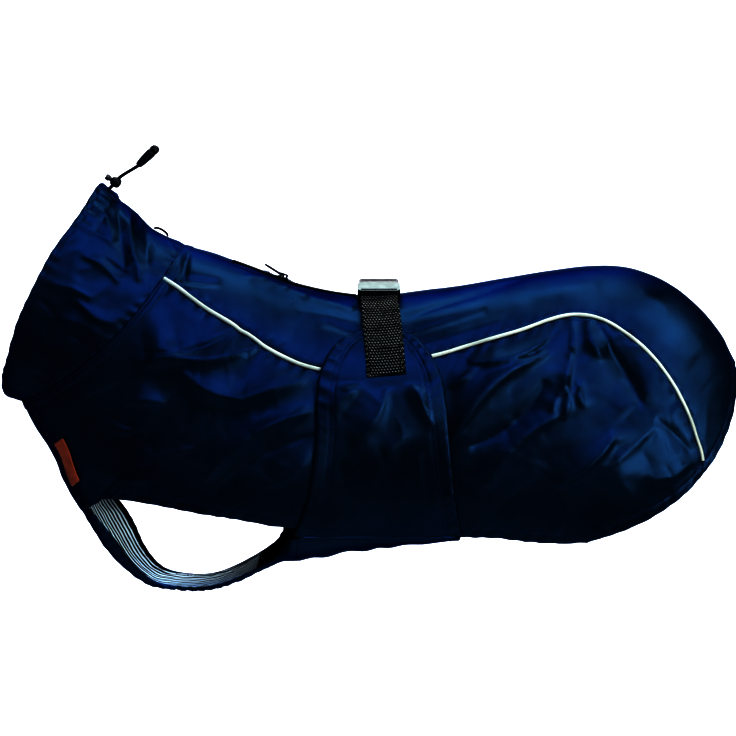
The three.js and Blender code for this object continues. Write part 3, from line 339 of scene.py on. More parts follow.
@dataclass
class CoatForm:
    """The coat's surfaces as functions, in millimetres, from the same sizes as the solids."""

    roundness: float = 2.3
    chest_end: float = 4
    wall: float = 1.6
    wing_wall: float = 1.8
    wing_lift: float = 2.1
    seam_calm: float = 9
    piping_calm: float = 0.11
    wing_calm: tuple[float, float, float] = (1, 46, 14)
    zip_range: tuple[float, float] = (-114, -18)
    valley_depth: float = 1.2
    valley_width: float = 10
    valley_fade: float = 14
    strap_join: float = 2.5
    belly_join: float = 1.6
    collar_join: float = 0.3
    casing_from: float = 0.8
    casing_extra: float = 0.7
    piping_places: np.ndarray = field(init=False)

    def __post_init__(self) -> None:
        """Finds the piping's place in each section."""
        places: list[tuple[float, float]] = []
        t, angle = 0.2, 0.6
        for x, z in PIPING_LINE:
            found_t, found_angle = self.locate(np.array([x]), np.array([z]), t, angle)
            t, angle = float(found_t[0]), float(found_angle[0])
            places.append((t, angle))
        self.piping_places = np.array(places)

    @property
    def last(self) -> float:
        """The last section, at the rear hem."""
        return len(SECTIONS) - 1

    def end_angle(self, t: np.ndarray) -> np.ndarray:
        """The angle of the body's lower edge."""
        s = read_table(SECTIONS, t)
        return math.pi - np.arcsin((s[..., 4] / s[..., 5]) ** (self.roundness / 2))

    def body(self, t: np.ndarray, angle: np.ndarray) -> np.ndarray:
        """Points of the body without creases.

        Args:
            t: Sections.
            angle: Angles round from the spine, right side positive.

        Returns:
            Points.
        """
        s = read_table(SECTIONS, t)
        end = math.pi - np.arcsin((s[..., 4] / s[..., 5]) ** (self.roundness / 2))
        h = (1 - np.cos(angle)) / (1 - np.cos(end))
        bow = 4 * h * (1 - h)
        x = s[..., 0] + (s[..., 2] - s[..., 0]) * h + s[..., 6] * bow
        y = s[..., 5] * round_power(np.sin(angle), self.roundness)
        z = s[..., 1] + (s[..., 3] - s[..., 1]) * h + s[..., 7] * bow
        return np.stack([x, y, z], -1)

    def outward(self, surface: Callable, a: np.ndarray, b: np.ndarray,
                step: tuple[float, float] = (0.04, 0.03)) -> np.ndarray:
        """The direction out of a surface.

        Args:
            surface: A function of two numbers.
            a: Its first number.
            b: Its second number.
            step: How far apart the surface is read.

        Returns:
            Directions.
        """
        along = surface(a + step[0], b) - surface(a - step[0], b)
        across = surface(a, b + step[1]) - surface(a, b - step[1])
        return unit(np.cross(along, across))

    def twist(self, p: np.ndarray) -> np.ndarray:
        """Draws back the far edge of the chest and strap.

        Args:
            p: Points.

        Returns:
            The moved points.
        """
        far = smooth_step((p[..., 1] + 22) / 60)
        amount = far * np.exp(-((p[..., 0] + 208) ** 2 + (p[..., 2] + 172) ** 2) / 52 ** 2)
        return p + amount[..., None] * np.array([11, 0, 5])

    def valley(self, p: np.ndarray) -> np.ndarray:
        """How far the back sinks towards the zip.

        Args:
            p: Points.

        Returns:
            Heights, zero or less.
        """
        front, rear = self.zip_range
        along = smooth_step((p[..., 0] - front + self.valley_fade) / self.valley_fade)
        along = along * smooth_step((rear + self.valley_fade - p[..., 0]) / self.valley_fade)
        sink = self.valley_depth * along * bell(p[..., 1] / self.valley_width)
        return np.where(p[..., 2] < -30, 0, -sink)

    def body_creases(self, t: np.ndarray, angle: np.ndarray, p: np.ndarray, fine: float) -> np.ndarray:
        """The height of all creases on the body.

        Args:
            t: Sections.
            angle: Angles round from the spine.
            p: Points of the plain body.
            fine: 0 for plain cloth, 1 for creased cloth.

        Returns:
            Heights.
        """
        x, y, z = p[..., 0], p[..., 1], p[..., 2]
        if fine == 0:
            return self.valley(p)
        left = fine * crisp_creases(LEFT_FOLDS, x, z)
        right = fine * crisp_creases(RIGHT_FOLDS, x, z)
        fade = smooth_step((np.abs(y) - 12) / 22)
        middle, half, over = self.wing_calm
        under_wing = 1 - smooth_step((np.abs(x - middle) - half) / over)
        near_piping = bell((np.abs(angle) - self.piping_angle(t)) / self.piping_calm)
        calm = smooth_step(t * 22 / self.seam_calm) * (1 - under_wing) * (1 - 0.6 * near_piping)
        high = np.where(y < 0, left, right) * fade * calm
        back = fine * crease_height(FINE_BACK, x, z) * smooth_step((np.abs(y) - 8) / 12)
        low = smooth_step((-8 - z) / 30)
        soft = (0.4 * crumple(p, 30, 0.4) + 0.14 * crumple(p, 13, 1.9)) * (1 - 0.6 * near_piping)
        wrinkles = 0.4 * ridged(p, 33, 5.2) - 0.3 * ridged(p, 23, 3.1)
        soft = fine * (soft * (0.35 + 0.65 * fade) + low * wrinkles)
        soft = soft * (1 - 0.8 * under_wing * (z < -18)) * smooth_step(t * 22 / 6)
        return high + back * (z > -40) + soft + self.valley(p)

    def cloth(self, t: np.ndarray, angle: np.ndarray, out: np.ndarray | float,
              fine: float = 1.0) -> np.ndarray:
        """Points of the body's cloth.

        Args:
            t: Sections.
            angle: Angles round from the spine.
            out: Distance out of the surface.
            fine: Share of the creases.

        Returns:
            Points.
        """
        t, angle = np.broadcast_arrays(np.asarray(t, float), np.asarray(angle, float))
        p = self.body(t, angle)
        lift = self.body_creases(t, angle, p, fine) + out
        return self.twist(p + lift[..., None] * self.outward(self.body, t, angle))

    def locate(self, x: np.ndarray, z: np.ndarray, t: float = 11,
               angle: float = 1.2) -> tuple[np.ndarray, np.ndarray]:
        """Finds the sections and angles of places in the side view.

        Args:
            x: Places along the coat.
            z: Heights.
            t: First guess of the section.
            angle: First guess of the angle.

        Returns:
            Sections and angles.
        """
        tt = np.full(np.shape(x), float(t))
        aa = np.full(np.shape(x), float(angle))
        step = 0.01
        for _ in range(40):
            p = self.body(tt, aa)
            pt = (self.body(tt + step, aa) - p) / step
            pa = (self.body(tt, aa + step) - p) / step
            det = pt[..., 0] * pa[..., 2] - pa[..., 0] * pt[..., 2]
            dx, dz = x - p[..., 0], z - p[..., 2]
            move_t = np.clip((dx * pa[..., 2] - pa[..., 0] * dz) / det, -1, 1)
            move_a = np.clip((pt[..., 0] * dz - dx * pt[..., 2]) / det, -0.2, 0.2)
            tt = np.clip(tt + move_t, -0.6, self.last + 0.6)
            aa = np.clip(aa + move_a, 0.1, 2.9)
        return tt, aa

    def piping_angle(self, t: np.ndarray) -> np.ndarray:
        """The angle of the piping seam.

        Args:
            t: Sections.

        Returns:
            Angles from the spine.
        """
        places = self.piping_places
        t = np.asarray(t, float)
        i = np.clip(np.searchsorted(places[:, 0], t, side="right"), 1, len(places) - 1)
        t0, a0 = np.moveaxis(places[i - 1], -1, 0)
        t1, a1 = np.moveaxis(places[i], -1, 0)
        before, after = places[np.maximum(i - 2, 0)], places[np.minimum(i + 1, len(places) - 1)]
        f = (t - t0) / (t1 - t0)
        m0 = (a1 - before[..., 1]) / (t1 - before[..., 0]) * (t1 - t0)
        m1 = (after[..., 1] - a0) / (after[..., 0] - t0) * (t1 - t0)
        return np.where((f < 0) | (f > 1), a0 + (a1 - a0) * f, ease_between(f, a0, a1, m0, m1))

    def angle_step(self, t: np.ndarray, angle: np.ndarray, distance: float) -> np.ndarray:
        """Turns a distance round the section into an angle."""
        speed = np.linalg.norm(self.body(t, angle + 0.01) - self.body(t, angle - 0.01), axis=-1) / 0.02
        return distance / speed

    def section_through(self, x: np.ndarray, angle: np.ndarray) -> np.ndarray:
        """The sections that have these X at these angles.

        Args:
            x: Places along the coat.
            angle: Angles.

        Returns:
            Sections.
        """
        low = np.zeros(np.broadcast(x, angle).shape)
        high = np.full(low.shape, float(self.last))
        for _ in range(30):
            middle = (low + high) / 2
            less = self.body(middle, angle + low * 0)[..., 0] < x
            low, high = np.where(less, middle, low), np.where(less, high, middle)
        return low

    def spine_section(self, x: float) -> float:
        """The section whose spine point has this X."""
        return float(self.section_through(np.array(x), np.array(0.0)))

    def angle_of_width(self, t: np.ndarray, y: np.ndarray | float) -> np.ndarray:
        """The angle at which the body is this far from the middle plane, near the spine."""
        return np.arcsin((np.abs(y) / read_table(SECTIONS, t)[..., 5]) ** (self.roundness / 2))

    def ring(self, r: np.ndarray, angle: np.ndarray) -> np.ndarray:
        """Points of collar rings.

        Args:
            r: Rows of the collar table.
            angle: Angles round from the top.

        Returns:
            Points.
        """
        h = (1 - np.cos(angle)) / 2
        bow = smooth_step((h - 0.07) / 0.32) * smooth_step((1 - h) / 0.38)
        x = r[..., 0] + (r[..., 2] - r[..., 0]) * h + r[..., 6] * bow
        y = r[..., 4] * round_power(np.sin(angle), r[..., 5])
        z = r[..., 1] + (r[..., 3] - r[..., 1]) * h + r[..., 7] * bow
        return np.stack([x, y, z], -1)

    def collar(self, along: np.ndarray, angle: np.ndarray) -> np.ndarray:
        """Points of the collar without creases.

        Args:
            along: 0 at the neck seam and 1 at the free edge.
            angle: Angles round from the top.

        Returns:
            Points.
        """
        p = self.ring(read_table(COLLAR_RINGS, along * (len(COLLAR_RINGS) - 1)), angle)
        join = smooth_step(np.maximum(0, along) / self.collar_join)[..., None]
        first = np.broadcast_to(COLLAR_RINGS[0], (*np.shape(angle), COLLAR_RINGS.shape[1]))
        seam = self.body(np.zeros(np.shape(angle)), angle) + p - self.ring(first, angle)
        return seam * (1 - join) + p * join

    def collar_cloth(self, along: np.ndarray, angle: np.ndarray, out: np.ndarray | float,
                     fine: float = 1.0) -> np.ndarray:
        """Points of the collar's cloth.

        Args:
            along: 0 at the neck seam and 1 at the free edge.
            angle: Angles round from the top.
            out: Distance out of the surface.
            fine: Share of the creases.

        Returns:
            Points.
        """
        along, angle = np.broadcast_arrays(np.asarray(along, float), np.asarray(angle, float))
        p = self.collar(along, angle)
        n = -self.outward(self.collar, along, angle)
        calm = smooth_step(along / 0.16) * smooth_step((np.abs(p[..., 1]) - 6) / 14)
        shift = np.where(p[..., 1] < 0, 0, 5)
        lift = 0.65 * fine * crisp_creases(COLLAR_FOLDS, p[..., 0] - shift, p[..., 2] + shift)
        turn = np.arctan2(np.sin(angle), np.cos(angle))
        pucker = 2.4 * smooth_step((along - 0.78) / 0.08) * bell(turn / 0.42)
        soft = 0.5 * crumple(p, 24, 2.6) + 0.2 * crumple(p, 11, 0.7) + 0.35 * ridged(p, 26, 1.3)
        soft = fine * soft * smooth_step(along / 0.1)
        return p + (lift * calm + pucker + soft + out)[..., None] * n

    def wing_cloth(self, side: np.ndarray, x: np.ndarray, z: np.ndarray, out: np.ndarray | float,
                   fine: float = 1.0) -> np.ndarray:
        """Points of a wing, which lies on the side panel.

        Args:
            side: -1 on the left and 1 on the right.
            x: Places along the coat.
            z: Heights.
            out: Distance out of the wing's inner face.
            fine: Share of the creases.

        Returns:
            Points.
        """
        t, angle = self.locate(x, z)
        p = self.body(t, angle)
        shift_x, shift_z = np.where(side < 0, 0, 6), np.where(side < 0, 0, -5)
        own = np.maximum(-0.9, fine * crisp_creases(WING_FOLDS, x + shift_x, z + shift_z))
        soft = fine * (0.3 * crumple(p, 20, 4.2) + 0.3 * ridged(p, 27, 2.2))
        lift = self.wing_lift + (own + soft) * smooth_step((-p[..., 2] - 56) / 8)
        return self.cloth(t, side * angle, lift + out, 0)

    def belly(self, along: np.ndarray, across: np.ndarray) -> np.ndarray:
        """Points of the belly's outer face.

        Args:
            along: 0 at the strap and 1 at the rear.
            across: -1 at the left and 1 at the right.

        Returns:
            Points.
        """
        middle = read_table(BELLY_MIDDLE, along * (len(BELLY_MIDDLE) - 1))
        f = 0.03 + 0.94 * along
        z, front, rear = WING_OUTLINE[-1]
        side = np.where(across < 0, -1, 1)
        foot = self.wing_cloth(side, front + (rear - front) * f, z + 0 * f, self.wing_wall / 2, 0)
        bend = np.abs(across) ** 2.2
        wide = np.sin(math.pi / 2 * across * 0.92) / math.sin(math.pi / 2 * 0.92)
        x = middle[..., 0] + (foot[..., 0] - middle[..., 0]) * bend
        height = middle[..., 1] + (foot[..., 2] - 2.2 - middle[..., 1]) * bend
        return np.stack([x, np.abs(foot[..., 1]) * wide, height], -1)

    def strap(self, station: np.ndarray, across: np.ndarray) -> np.ndarray:
        """Points of the strap between the front legs.

        Args:
            station: Rows of the underbody table.
            across: -1 at the left edge and 1 at the right.

        Returns:
            Points.
        """
        end = len(UNDERBODY) - 1
        r = read_table(UNDERBODY, station)
        bend = np.abs(across) ** 2
        plain = np.stack([
            r[..., 0] + (r[..., 2] - r[..., 0]) * bend,
            r[..., 4] * np.sin(math.pi / 2 * across * 0.9) / math.sin(math.pi / 2 * 0.9),
            r[..., 1] + (r[..., 3] - r[..., 1]) * bend,
        ], -1)
        rear = smooth_step((station - end + self.belly_join) / self.belly_join)[..., None]
        seam = self.belly(0 * across, across)
        seam[..., 0] += r[..., 0] - BELLY_MIDDLE[0, 0]
        join = smooth_step(station / self.strap_join)[..., None]
        chest_t = np.full(np.shape(across), float(self.chest_end))
        chest = self.body(chest_t, math.pi - across * (math.pi - self.end_angle(chest_t)))
        chest[..., 0] += r[..., 0] - UNDERBODY[0, 0]
        chest[..., 2] += r[..., 1] - UNDERBODY[0, 1]
        chest[..., 1] *= r[..., 4] / UNDERBODY[0, 4]
        front = chest * (1 - join) + plain * join
        return front * (1 - rear) + seam * rear

    def strap_cloth(self, station: np.ndarray, across: np.ndarray, out: np.ndarray | float) -> np.ndarray:
        """Points of the strap's cloth.

        Args:
            station: Rows of the underbody table.
            across: -1 at the left edge and 1 at the right.
            out: Distance out of the strap, towards the ground.

        Returns:
            Points.
        """
        p = self.strap(station, across)
        n = self.outward(self.strap, station, across, (0.05, 0.05))
        n = np.where((n[..., 2:3] > 0) & (station[..., None] > 3), -n, n)
        forward = n[..., 0:1] + n[..., 2:3]
        n = np.where(forward > 0, -n, n)
        return self.twist(p + np.asarray(out)[..., None] * n)


FORM = CoatForm()


@dataclass
class ClothGrid:
    """A grid of points on one piece of cloth, in millimetres, with its directions out."""

    points: np.ndarray

    @property
    def normals(self) -> np.ndarray:
        """Directions square to the grid."""
        down = np.gradient(self.points, axis=0)
        over = np.gradient(self.points, axis=1)
        return unit(np.cross(down, over))

    @property
    def down(self) -> np.ndarray:
        """Distance from the first row, along each column."""
        steps = np.linalg.norm(np.diff(self.points, axis=0), axis=-1)
        return np.vstack([np.zeros((1, steps.shape[1])), np.cumsum(steps, axis=0)])

    @property
    def over(self) -> np.ndarray:
        """Distance from the first column, along each row."""
        steps = np.linalg.norm(np.diff(self.points, axis=1), axis=-1)
        return np.hstack([np.zeros((steps.shape[0], 1)), np.cumsum(steps, axis=1)])

    @property
    def side(self) -> np.ndarray:
        """Distance from the nearer of the first and the last column, along each row."""
        over = self.over
        return np.minimum(over, over[:, -1:] - over)

    def flat_size(self) -> tuple[float, float]:
        """The smallest rectangle that the cut fits, in metres."""
        return float(self.over[:, -1].max() * MM), float(self.down[-1].max() * MM)

    def line_over(self, level: float, from_end: bool = False) -> tuple[np.ndarray, np.ndarray]:
        """A line at one distance from the first or last column.

        Args:
            level: The distance.
            from_end: True to measure from the last column.

        Returns:
            Points and directions out.
        """
        distance, points, normals = self.over, self.points, self.normals
        if from_end:
            distance = (distance[:, -1:] - distance)[:, ::-1]
            points, normals = points[:, ::-1], normals[:, ::-1]
        pick = [[np.interp(level, d, grid[:, k]) for k in range(3)]
                for source in (points, normals) for d, grid in zip(distance, source)]
        both = np.array(pick).reshape(2, -1, 3)
        return both[0], unit(both[1])

    def line_down(self, level: float, from_end: bool = False) -> tuple[np.ndarray, np.ndarray]:
        """A line at one distance from the first or last row.

        Args:
            level: The distance.
            from_end: True to measure from the last row.

        Returns:
            Points and directions out.
        """
        turned = ClothGrid(self.points.transpose(1, 0, 2))
        points, normals = turned.line_over(level, from_end)
        return points, -normals


def new_object(name: str, mesh: bpy.types.Mesh) -> bpy.types.Object:
    """Adds a mesh object to the scene.

    Args:
        name: The object's name.
        mesh: Its mesh.

    Returns:
        The object.
    """
    obj = bpy.data.objects.new(name, mesh)
    bpy.context.scene.collection.objects.link(obj)
    return obj


def mesh_object(name: str, points: np.ndarray, faces: Sequence, uv: np.ndarray | None = None,
                sharp_degrees: float = 50) -> bpy.types.Object:
    """Makes a smooth mesh object.

    Args:
        name: The object's name.
        points: Corners in millimetres.
        faces: Corner numbers of each face.
        uv: A texture place in metres for each corner.
        sharp_degrees: Edges that turn more than this stay sharp.

    Returns:
        The object.
    """
    mesh = bpy.data.meshes.new(name)
    points = np.asarray(points, float) * MM
    if isinstance(faces, np.ndarray):
        mesh.vertices.add(len(points))
        mesh.vertices.foreach_set("co", points.ravel())
        mesh.loops.add(faces.size)
        mesh.loops.foreach_set("vertex_index", faces.ravel())
        mesh.polygons.add(len(faces))
        mesh.polygons.foreach_set("loop_start", np.arange(0, faces.size, faces.shape[1]))
        mesh.update(calc_edges=True)
    else:
        mesh.from_pydata(points.tolist(), [], faces)
    mesh.shade_smooth()
    mesh.set_sharp_from_angle(angle=math.radians(sharp_degrees))
    if uv is not None:
        layer = mesh.uv_layers.new(name="cloth")
        corner = np.zeros(len(mesh.loops), int)
        mesh.loops.foreach_get("vertex_index", corner)
        layer.data.foreach_set("uv", np.asarray(uv, np.float32)[corner].ravel())
    mesh.update()
    return new_object(name, mesh)


def cloth_wall(name: str, outer: np.ndarray, inner: np.ndarray, closed: bool = False,
               cut: Callable[[int, int], bool] | None = None) -> bpy.types.Object:
    """Makes one closed wall of cloth with rounded edges.

    Args:
        name: The object's name.
        outer: Grid of the outer face.
        inner: Grid of the inner face.
        closed: True where the last column meets the first.
        cut: Says which cells are left out.

    Returns:
        The object, with slot 0 on the outer face and slot 1 on the inner face.
    """
    rows, wide = outer.shape[:2]
    cells = wide if closed else wide - 1
    count = rows * wide
    i, j = np.meshgrid(np.arange(rows - 1), np.arange(cells), indexing="ij")
    i, j = i.ravel(), j.ravel()
    if cut is not None:
        keep = np.array([not cut(a, b) for a, b in zip(i, j)])
        i, j = i[keep], j[keep]
    k = (j + 1) % wide
    quads = np.stack([i * wide + j, (i + 1) * wide + j, (i + 1) * wide + k, i * wide + k], 1)
    points = np.concatenate([outer.reshape(-1, 3), inner.reshape(-1, 3)])
    centre_sum = np.zeros((count, 3))
    centre_count = np.zeros(count)
    centres = points[quads].mean(1)
    for c in range(4):
        np.add.at(centre_sum, quads[:, c], centres)
        np.add.at(centre_count, quads[:, c], 1)
    starts, ends = quads.ravel(), np.roll(quads, -1, 1).ravel()
    size = len(points)
    free = ~np.isin(starts * size + ends, ends * size + starts)
    rim = np.stack([starts[free], ends[free]], 1)
    corners = np.unique(rim)
    middle_of = np.zeros(size, int)
    middle_of[corners] = 2 * count + np.arange(len(corners))
    near, far = points[corners], points[corners + count]
    away = near - centre_sum[corners] / centre_count[corners][:, None]
    through = unit(near - far)
    away = unit(away - (away * through).sum(1, keepdims=True) * through)
    thick = np.linalg.norm(near - far, axis=1, keepdims=True)
    middles = (near + far) / 2 + away * thick * EDGE_BULGE
    a, b = rim.T
    faces = np.concatenate([
        quads,
        quads[:, ::-1] + count,
        np.stack([b, a, middle_of[a], middle_of[b]], 1),
        np.stack([middle_of[b], middle_of[a], a + count, b + count], 1),
    ])
    grid = ClothGrid(outer)
    flat = np.stack([grid.over, grid.down], -1).reshape(-1, 2) * MM
    uv = np.concatenate([flat, flat, flat[corners]])
    used = np.unique(faces)
    renumber = np.zeros(2 * count + len(corners), int)
    renumber[used] = np.arange(len(used))
    all_points = np.concatenate([points, middles])[used]
    obj = mesh_object(name, all_points, renumber[faces], uv[used])
    slots = np.zeros(len(faces), np.int32)
    slots[len(quads):2 * len(quads)] = 1
    obj.data.polygons.foreach_set("material_index", slots)
    face_outward(obj.data)
    return obj


def face_outward(mesh: bpy.types.Mesh) -> None:
    """Turns a closed mesh's faces to the outside.

    Args:
        mesh: The mesh.
    """
    box = bmesh.new()
    box.from_mesh(mesh)
    if box.calc_volume(signed=True) < 0:
        bmesh.ops.reverse_faces(box, faces=box.faces)
        box.to_mesh(mesh)
    box.free()


def tube_faces(rings: int, sides: int) -> list[list[int]]:
    """Numbers the faces of a closed tube.

    Args:
        rings: How many rings of corners it has.
        sides: Corners of each ring.

    Returns:
        The corner numbers of each face.
    """
    faces = []
    for i in range(rings - 1):
        for k in range(sides):
            n = (k + 1) % sides
            faces.append([i * sides + k, i * sides + n, (i + 1) * sides + n, (i + 1) * sides + k])
    faces.append(list(range(sides))[::-1])
    faces.append([(rings - 1) * sides + k for k in range(sides)])
    return faces


def sweep(points: np.ndarray, radius: np.ndarray | float, sides: int,
          up: np.ndarray) -> tuple[np.ndarray, list]:
    """Sweeps a round along a line.

    Args:
        points: The line.
        radius: Its radius, one for all or one for each point.
        sides: Corners of the round.
        up: A direction out of the surface at each point.

    Returns:
        Corners and faces of a closed tube.
    """
    along = unit(np.gradient(points, axis=0))
    across = unit(np.cross(along, up))
    lift = unit(np.cross(across, along))
    turn = full_turn(sides)
    r = np.broadcast_to(np.asarray(radius, float), (len(points),))[:, None, None]
    ring = np.cos(turn)[None, :, None] * across[:, None] + np.sin(turn)[None, :, None] * lift[:, None]
    corners = (points[:, None] + r * ring).reshape(-1, 3)
    return corners, tube_faces(len(points), sides)


def join_parts(parts: Sequence[tuple[np.ndarray, list]]) -> tuple[np.ndarray, list]:
    """Joins several lists of corners and faces into one.

    Args:
        parts: Corners and faces of each.

    Returns:
        Corners and faces of all.
    """
    corners, faces, start = [], [], 0
    for points, own in parts:
        corners.append(points)
        faces += [[v + start for v in face] for face in own]
        start += len(points)
    return np.concatenate(corners), faces


def run_length(points: np.ndarray) -> np.ndarray:
    """Distance along a line from its first point to each point."""
    return np.concatenate([[0], np.cumsum(np.linalg.norm(np.diff(points, axis=0), axis=1))])


def resample(points: np.ndarray, normals: np.ndarray, spacing: float) -> tuple[np.ndarray, np.ndarray]:
    """Spaces a line's points evenly.

    Args:
        points: The line.
        normals: A direction at each point.
        spacing: Distance between the new points.

    Returns:
        New points and directions.
    """
    s = run_length(points)
    new = np.arange(0, s[-1], spacing)
    pick = lambda a: np.stack([np.interp(new, s, a[:, k]) for k in range(3)], 1)
    return pick(points), unit(pick(normals))


@dataclass(frozen=True)
class Thread:
    """A sewing thread, laid in single stitches."""

    pitch: float = 3.0
    length: float = 2.2
    radius: float = 0.26
    raised: float = 0.12
    sides: int = 5

    def stitches(self, points: np.ndarray, normals: np.ndarray) -> tuple[np.ndarray, list]:
        """Lays stitches along a line.

        Args:
            points: The line.
            normals: Directions out of the cloth.

        Returns:
            Corners and faces.
        """
        middle, up = resample(points, normals, self.pitch)
        if len(middle) < 3:
            return np.zeros((0, 3)), []
        along = unit(np.gradient(middle, axis=0))
        across = unit(np.cross(along, up))
        turn = full_turn(self.sides)
        shape = ((-0.5, 0.3, -0.2), (-0.3, 1, 0.6), (0.3, 1, 0.6), (0.5, 0.3, -0.2))
        rings = []
        for place, size, high in shape:
            centre = middle + along * self.length * place + up * (self.raised * high)
            spread = np.cos(turn)[None, :, None] * across[:, None] + np.sin(turn)[None, :, None] * up[:, None]
            rings.append(centre[:, None] + spread * self.radius * size)
        corners = np.stack(rings, 1).reshape(-1, 3)
        pattern = tube_faces(len(shape), self.sides)
        per = len(shape) * self.sides
        return corners, [[v + n * per for v in face] for n in range(len(middle)) for face in pattern]


def stitch_object(name: str, lines: Sequence[tuple[np.ndarray, np.ndarray]], thread: Thread,
                  material: bpy.types.Material) -> bpy.types.Object:
    """Makes one object of all stitch lines of a piece.

    Args:
        name: The object's name.
        lines: Points and directions of each line.
        thread: The thread.
        material: Its finish.

    Returns:
        The object, riding on the coat.
    """
    corners, faces = join_parts([thread.stitches(*line) for line in lines])
    obj = mesh_object(name, corners, faces, sharp_degrees=180)
    dress_piece(obj, None, "shell", material)
    return obj


class NodeTree:
    """A short way to build a material's nodes."""

    def __init__(self, name: str) -> None:
        """Starts a material.

        Args:
            name: The material's name.
        """
        self.material = bpy.data.materials.new(name)
        self.material.use_nodes = True
        self.tree = self.material.node_tree
        self.shader = self.tree.nodes["Principled BSDF"]
        self.place = self.tree.nodes.new("ShaderNodeTexCoord")

    def add(self, kind: str, settings: dict | None = None, **inputs: object) -> bpy.types.Node:
        """Adds a node.

        Args:
            kind: The node's type without its prefix.
            settings: Its options.
            **inputs: Values or sockets for its inputs, with _ for a space.

        Returns:
            The node.
        """
        node = self.tree.nodes.new("ShaderNode" + kind)
        for key, value in (settings or {}).items():
            setattr(node, key, value)
        for key, value in inputs.items():
            self.put(node, key.replace("_", " "), value)
        return node

    def put(self, node: bpy.types.Node, key: str | int, value: object) -> None:
        """Sets or links one input.

        Args:
            node: The node.
            key: The input's name or number.
            value: A number, colour or socket.
        """
        if isinstance(value, bpy.types.NodeSocket):
            self.tree.links.new(value, node.inputs[key])
        else:
            node.inputs[key].default_value = value

    def dress(self, **inputs: object) -> None:
        """Sets the shader's inputs."""
        for key, value in inputs.items():
            self.put(self.shader, key.replace("_", " "), value)

    def noise(self, scale: float, detail: float = 3, place: str = "Object",
              **settings: object) -> bpy.types.NodeSocket:
        """Adds a noise texture.

        Args:
            scale: Its scale in each metre.
            detail: Its detail.
            place: The texture coordinate.
            **settings: The node's options.

        Returns:
            Its height.
        """
        node = self.add("TexNoise", dict(settings), Scale=scale, Detail=detail)
        self.tree.links.new(self.place.outputs[place], node.inputs["Vector"])
        return node.outputs[0]

    def waves(self, scale: float, turn: tuple[float, float, float], distortion: float = 0,
              place: str = "UV") -> bpy.types.NodeSocket:
        """Adds even waves, as of threads.

        Args:
            scale: Waves in each metre.
            turn: How the pattern is turned.
            distortion: How uneven they run.
            place: The texture coordinate.

        Returns:
            Their height.
        """
        turned = self.add("Mapping", None, Rotation=turn)
        self.tree.links.new(self.place.outputs[place], turned.inputs["Vector"])
        options = {"wave_type": "BANDS", "bands_direction": "X", "wave_profile": "SIN"}
        node = self.add("TexWave", options, Scale=scale / 3.18, Distortion=distortion, Detail=1.5)
        node.inputs["Detail Scale"].default_value = 0.6
        self.tree.links.new(turned.outputs[0], node.inputs["Vector"])
        return node.outputs["Fac"]

    def blend(self, factor: object, first: object, second: object) -> bpy.types.NodeSocket:
        """Mixes two colours.

        Args:
            factor: The share of the second.
            first: A colour or socket.
            second: A colour or socket.

        Returns:
            The mixed colour.
        """
        node = self.tree.nodes.new("ShaderNodeMix")
        node.data_type = "RGBA"
        for key, value in ((0, factor), (6, first), (7, second)):
            self.put(node, key, value)
        return node.outputs[2]

    def reach(self, value: object, low: float, high: float, to_low: float = 0,
              to_high: float = 1) -> bpy.types.NodeSocket:
        """Spreads one range of a value over another.

        Args:
            value: The value.
            low: Start of its range.
            high: End of its range.
            to_low: Start of the new range.
            to_high: End of the new range.

        Returns:
            The new value.
        """
        node = self.add("MapRange", None, Value=value)
        for key, number in zip(("From Min", "From Max", "To Min", "To Max"), (low, high, to_low, to_high)):
            node.inputs[key].default_value = number
        return node.outputs[0]

    def product(self, first: object, second: object) -> bpy.types.NodeSocket:
        """Multiplies two values.

        Args:
            first: A number or socket.
            second: A number or socket.

        Returns:
            Their product.
        """
        node = self.add("Math", {"operation": "MULTIPLY"})
        self.put(node, 0, first)
        self.put(node, 1, second)
        return node.outputs[0]

    def bump(self, height: object, distance: float, strength: float = 1,
             under: bpy.types.NodeSocket | None = None) -> bpy.types.NodeSocket:
        """Adds a bump.

        Args:
            height: The height.
            distance: How high 1 is, in metres.
            strength: Its strength.
            under: Another bump's direction.

        Returns:
            The direction.
        """
        node = self.add("Bump", None, Height=height, Distance=distance, Strength=strength)
        if under is not None:
            self.put(node, "Normal", under)
        return node.outputs[0]


Colour = tuple[float, float, float]
Point = tuple[float, float, float]


def rgba(colour: Colour) -> tuple[float, float, float, float]:
    """A colour with full cover."""
    return (*colour, 1.0)


class Finish:
    """What all finishes share: each paints the nodes of one material."""

    name: str

    def paint(self, nodes: NodeTree) -> None:
        """Sets the material's nodes."""
        raise NotImplementedError

    def material(self) -> bpy.types.Material:
        """Builds the material."""
        nodes = NodeTree(self.name)
        self.paint(nodes)
        return nodes.material


def made(finish: Finish) -> bpy.types.Material:
    """A field that holds a finish's material, built when the fields are filled."""
    return field(default_factory=finish.material)


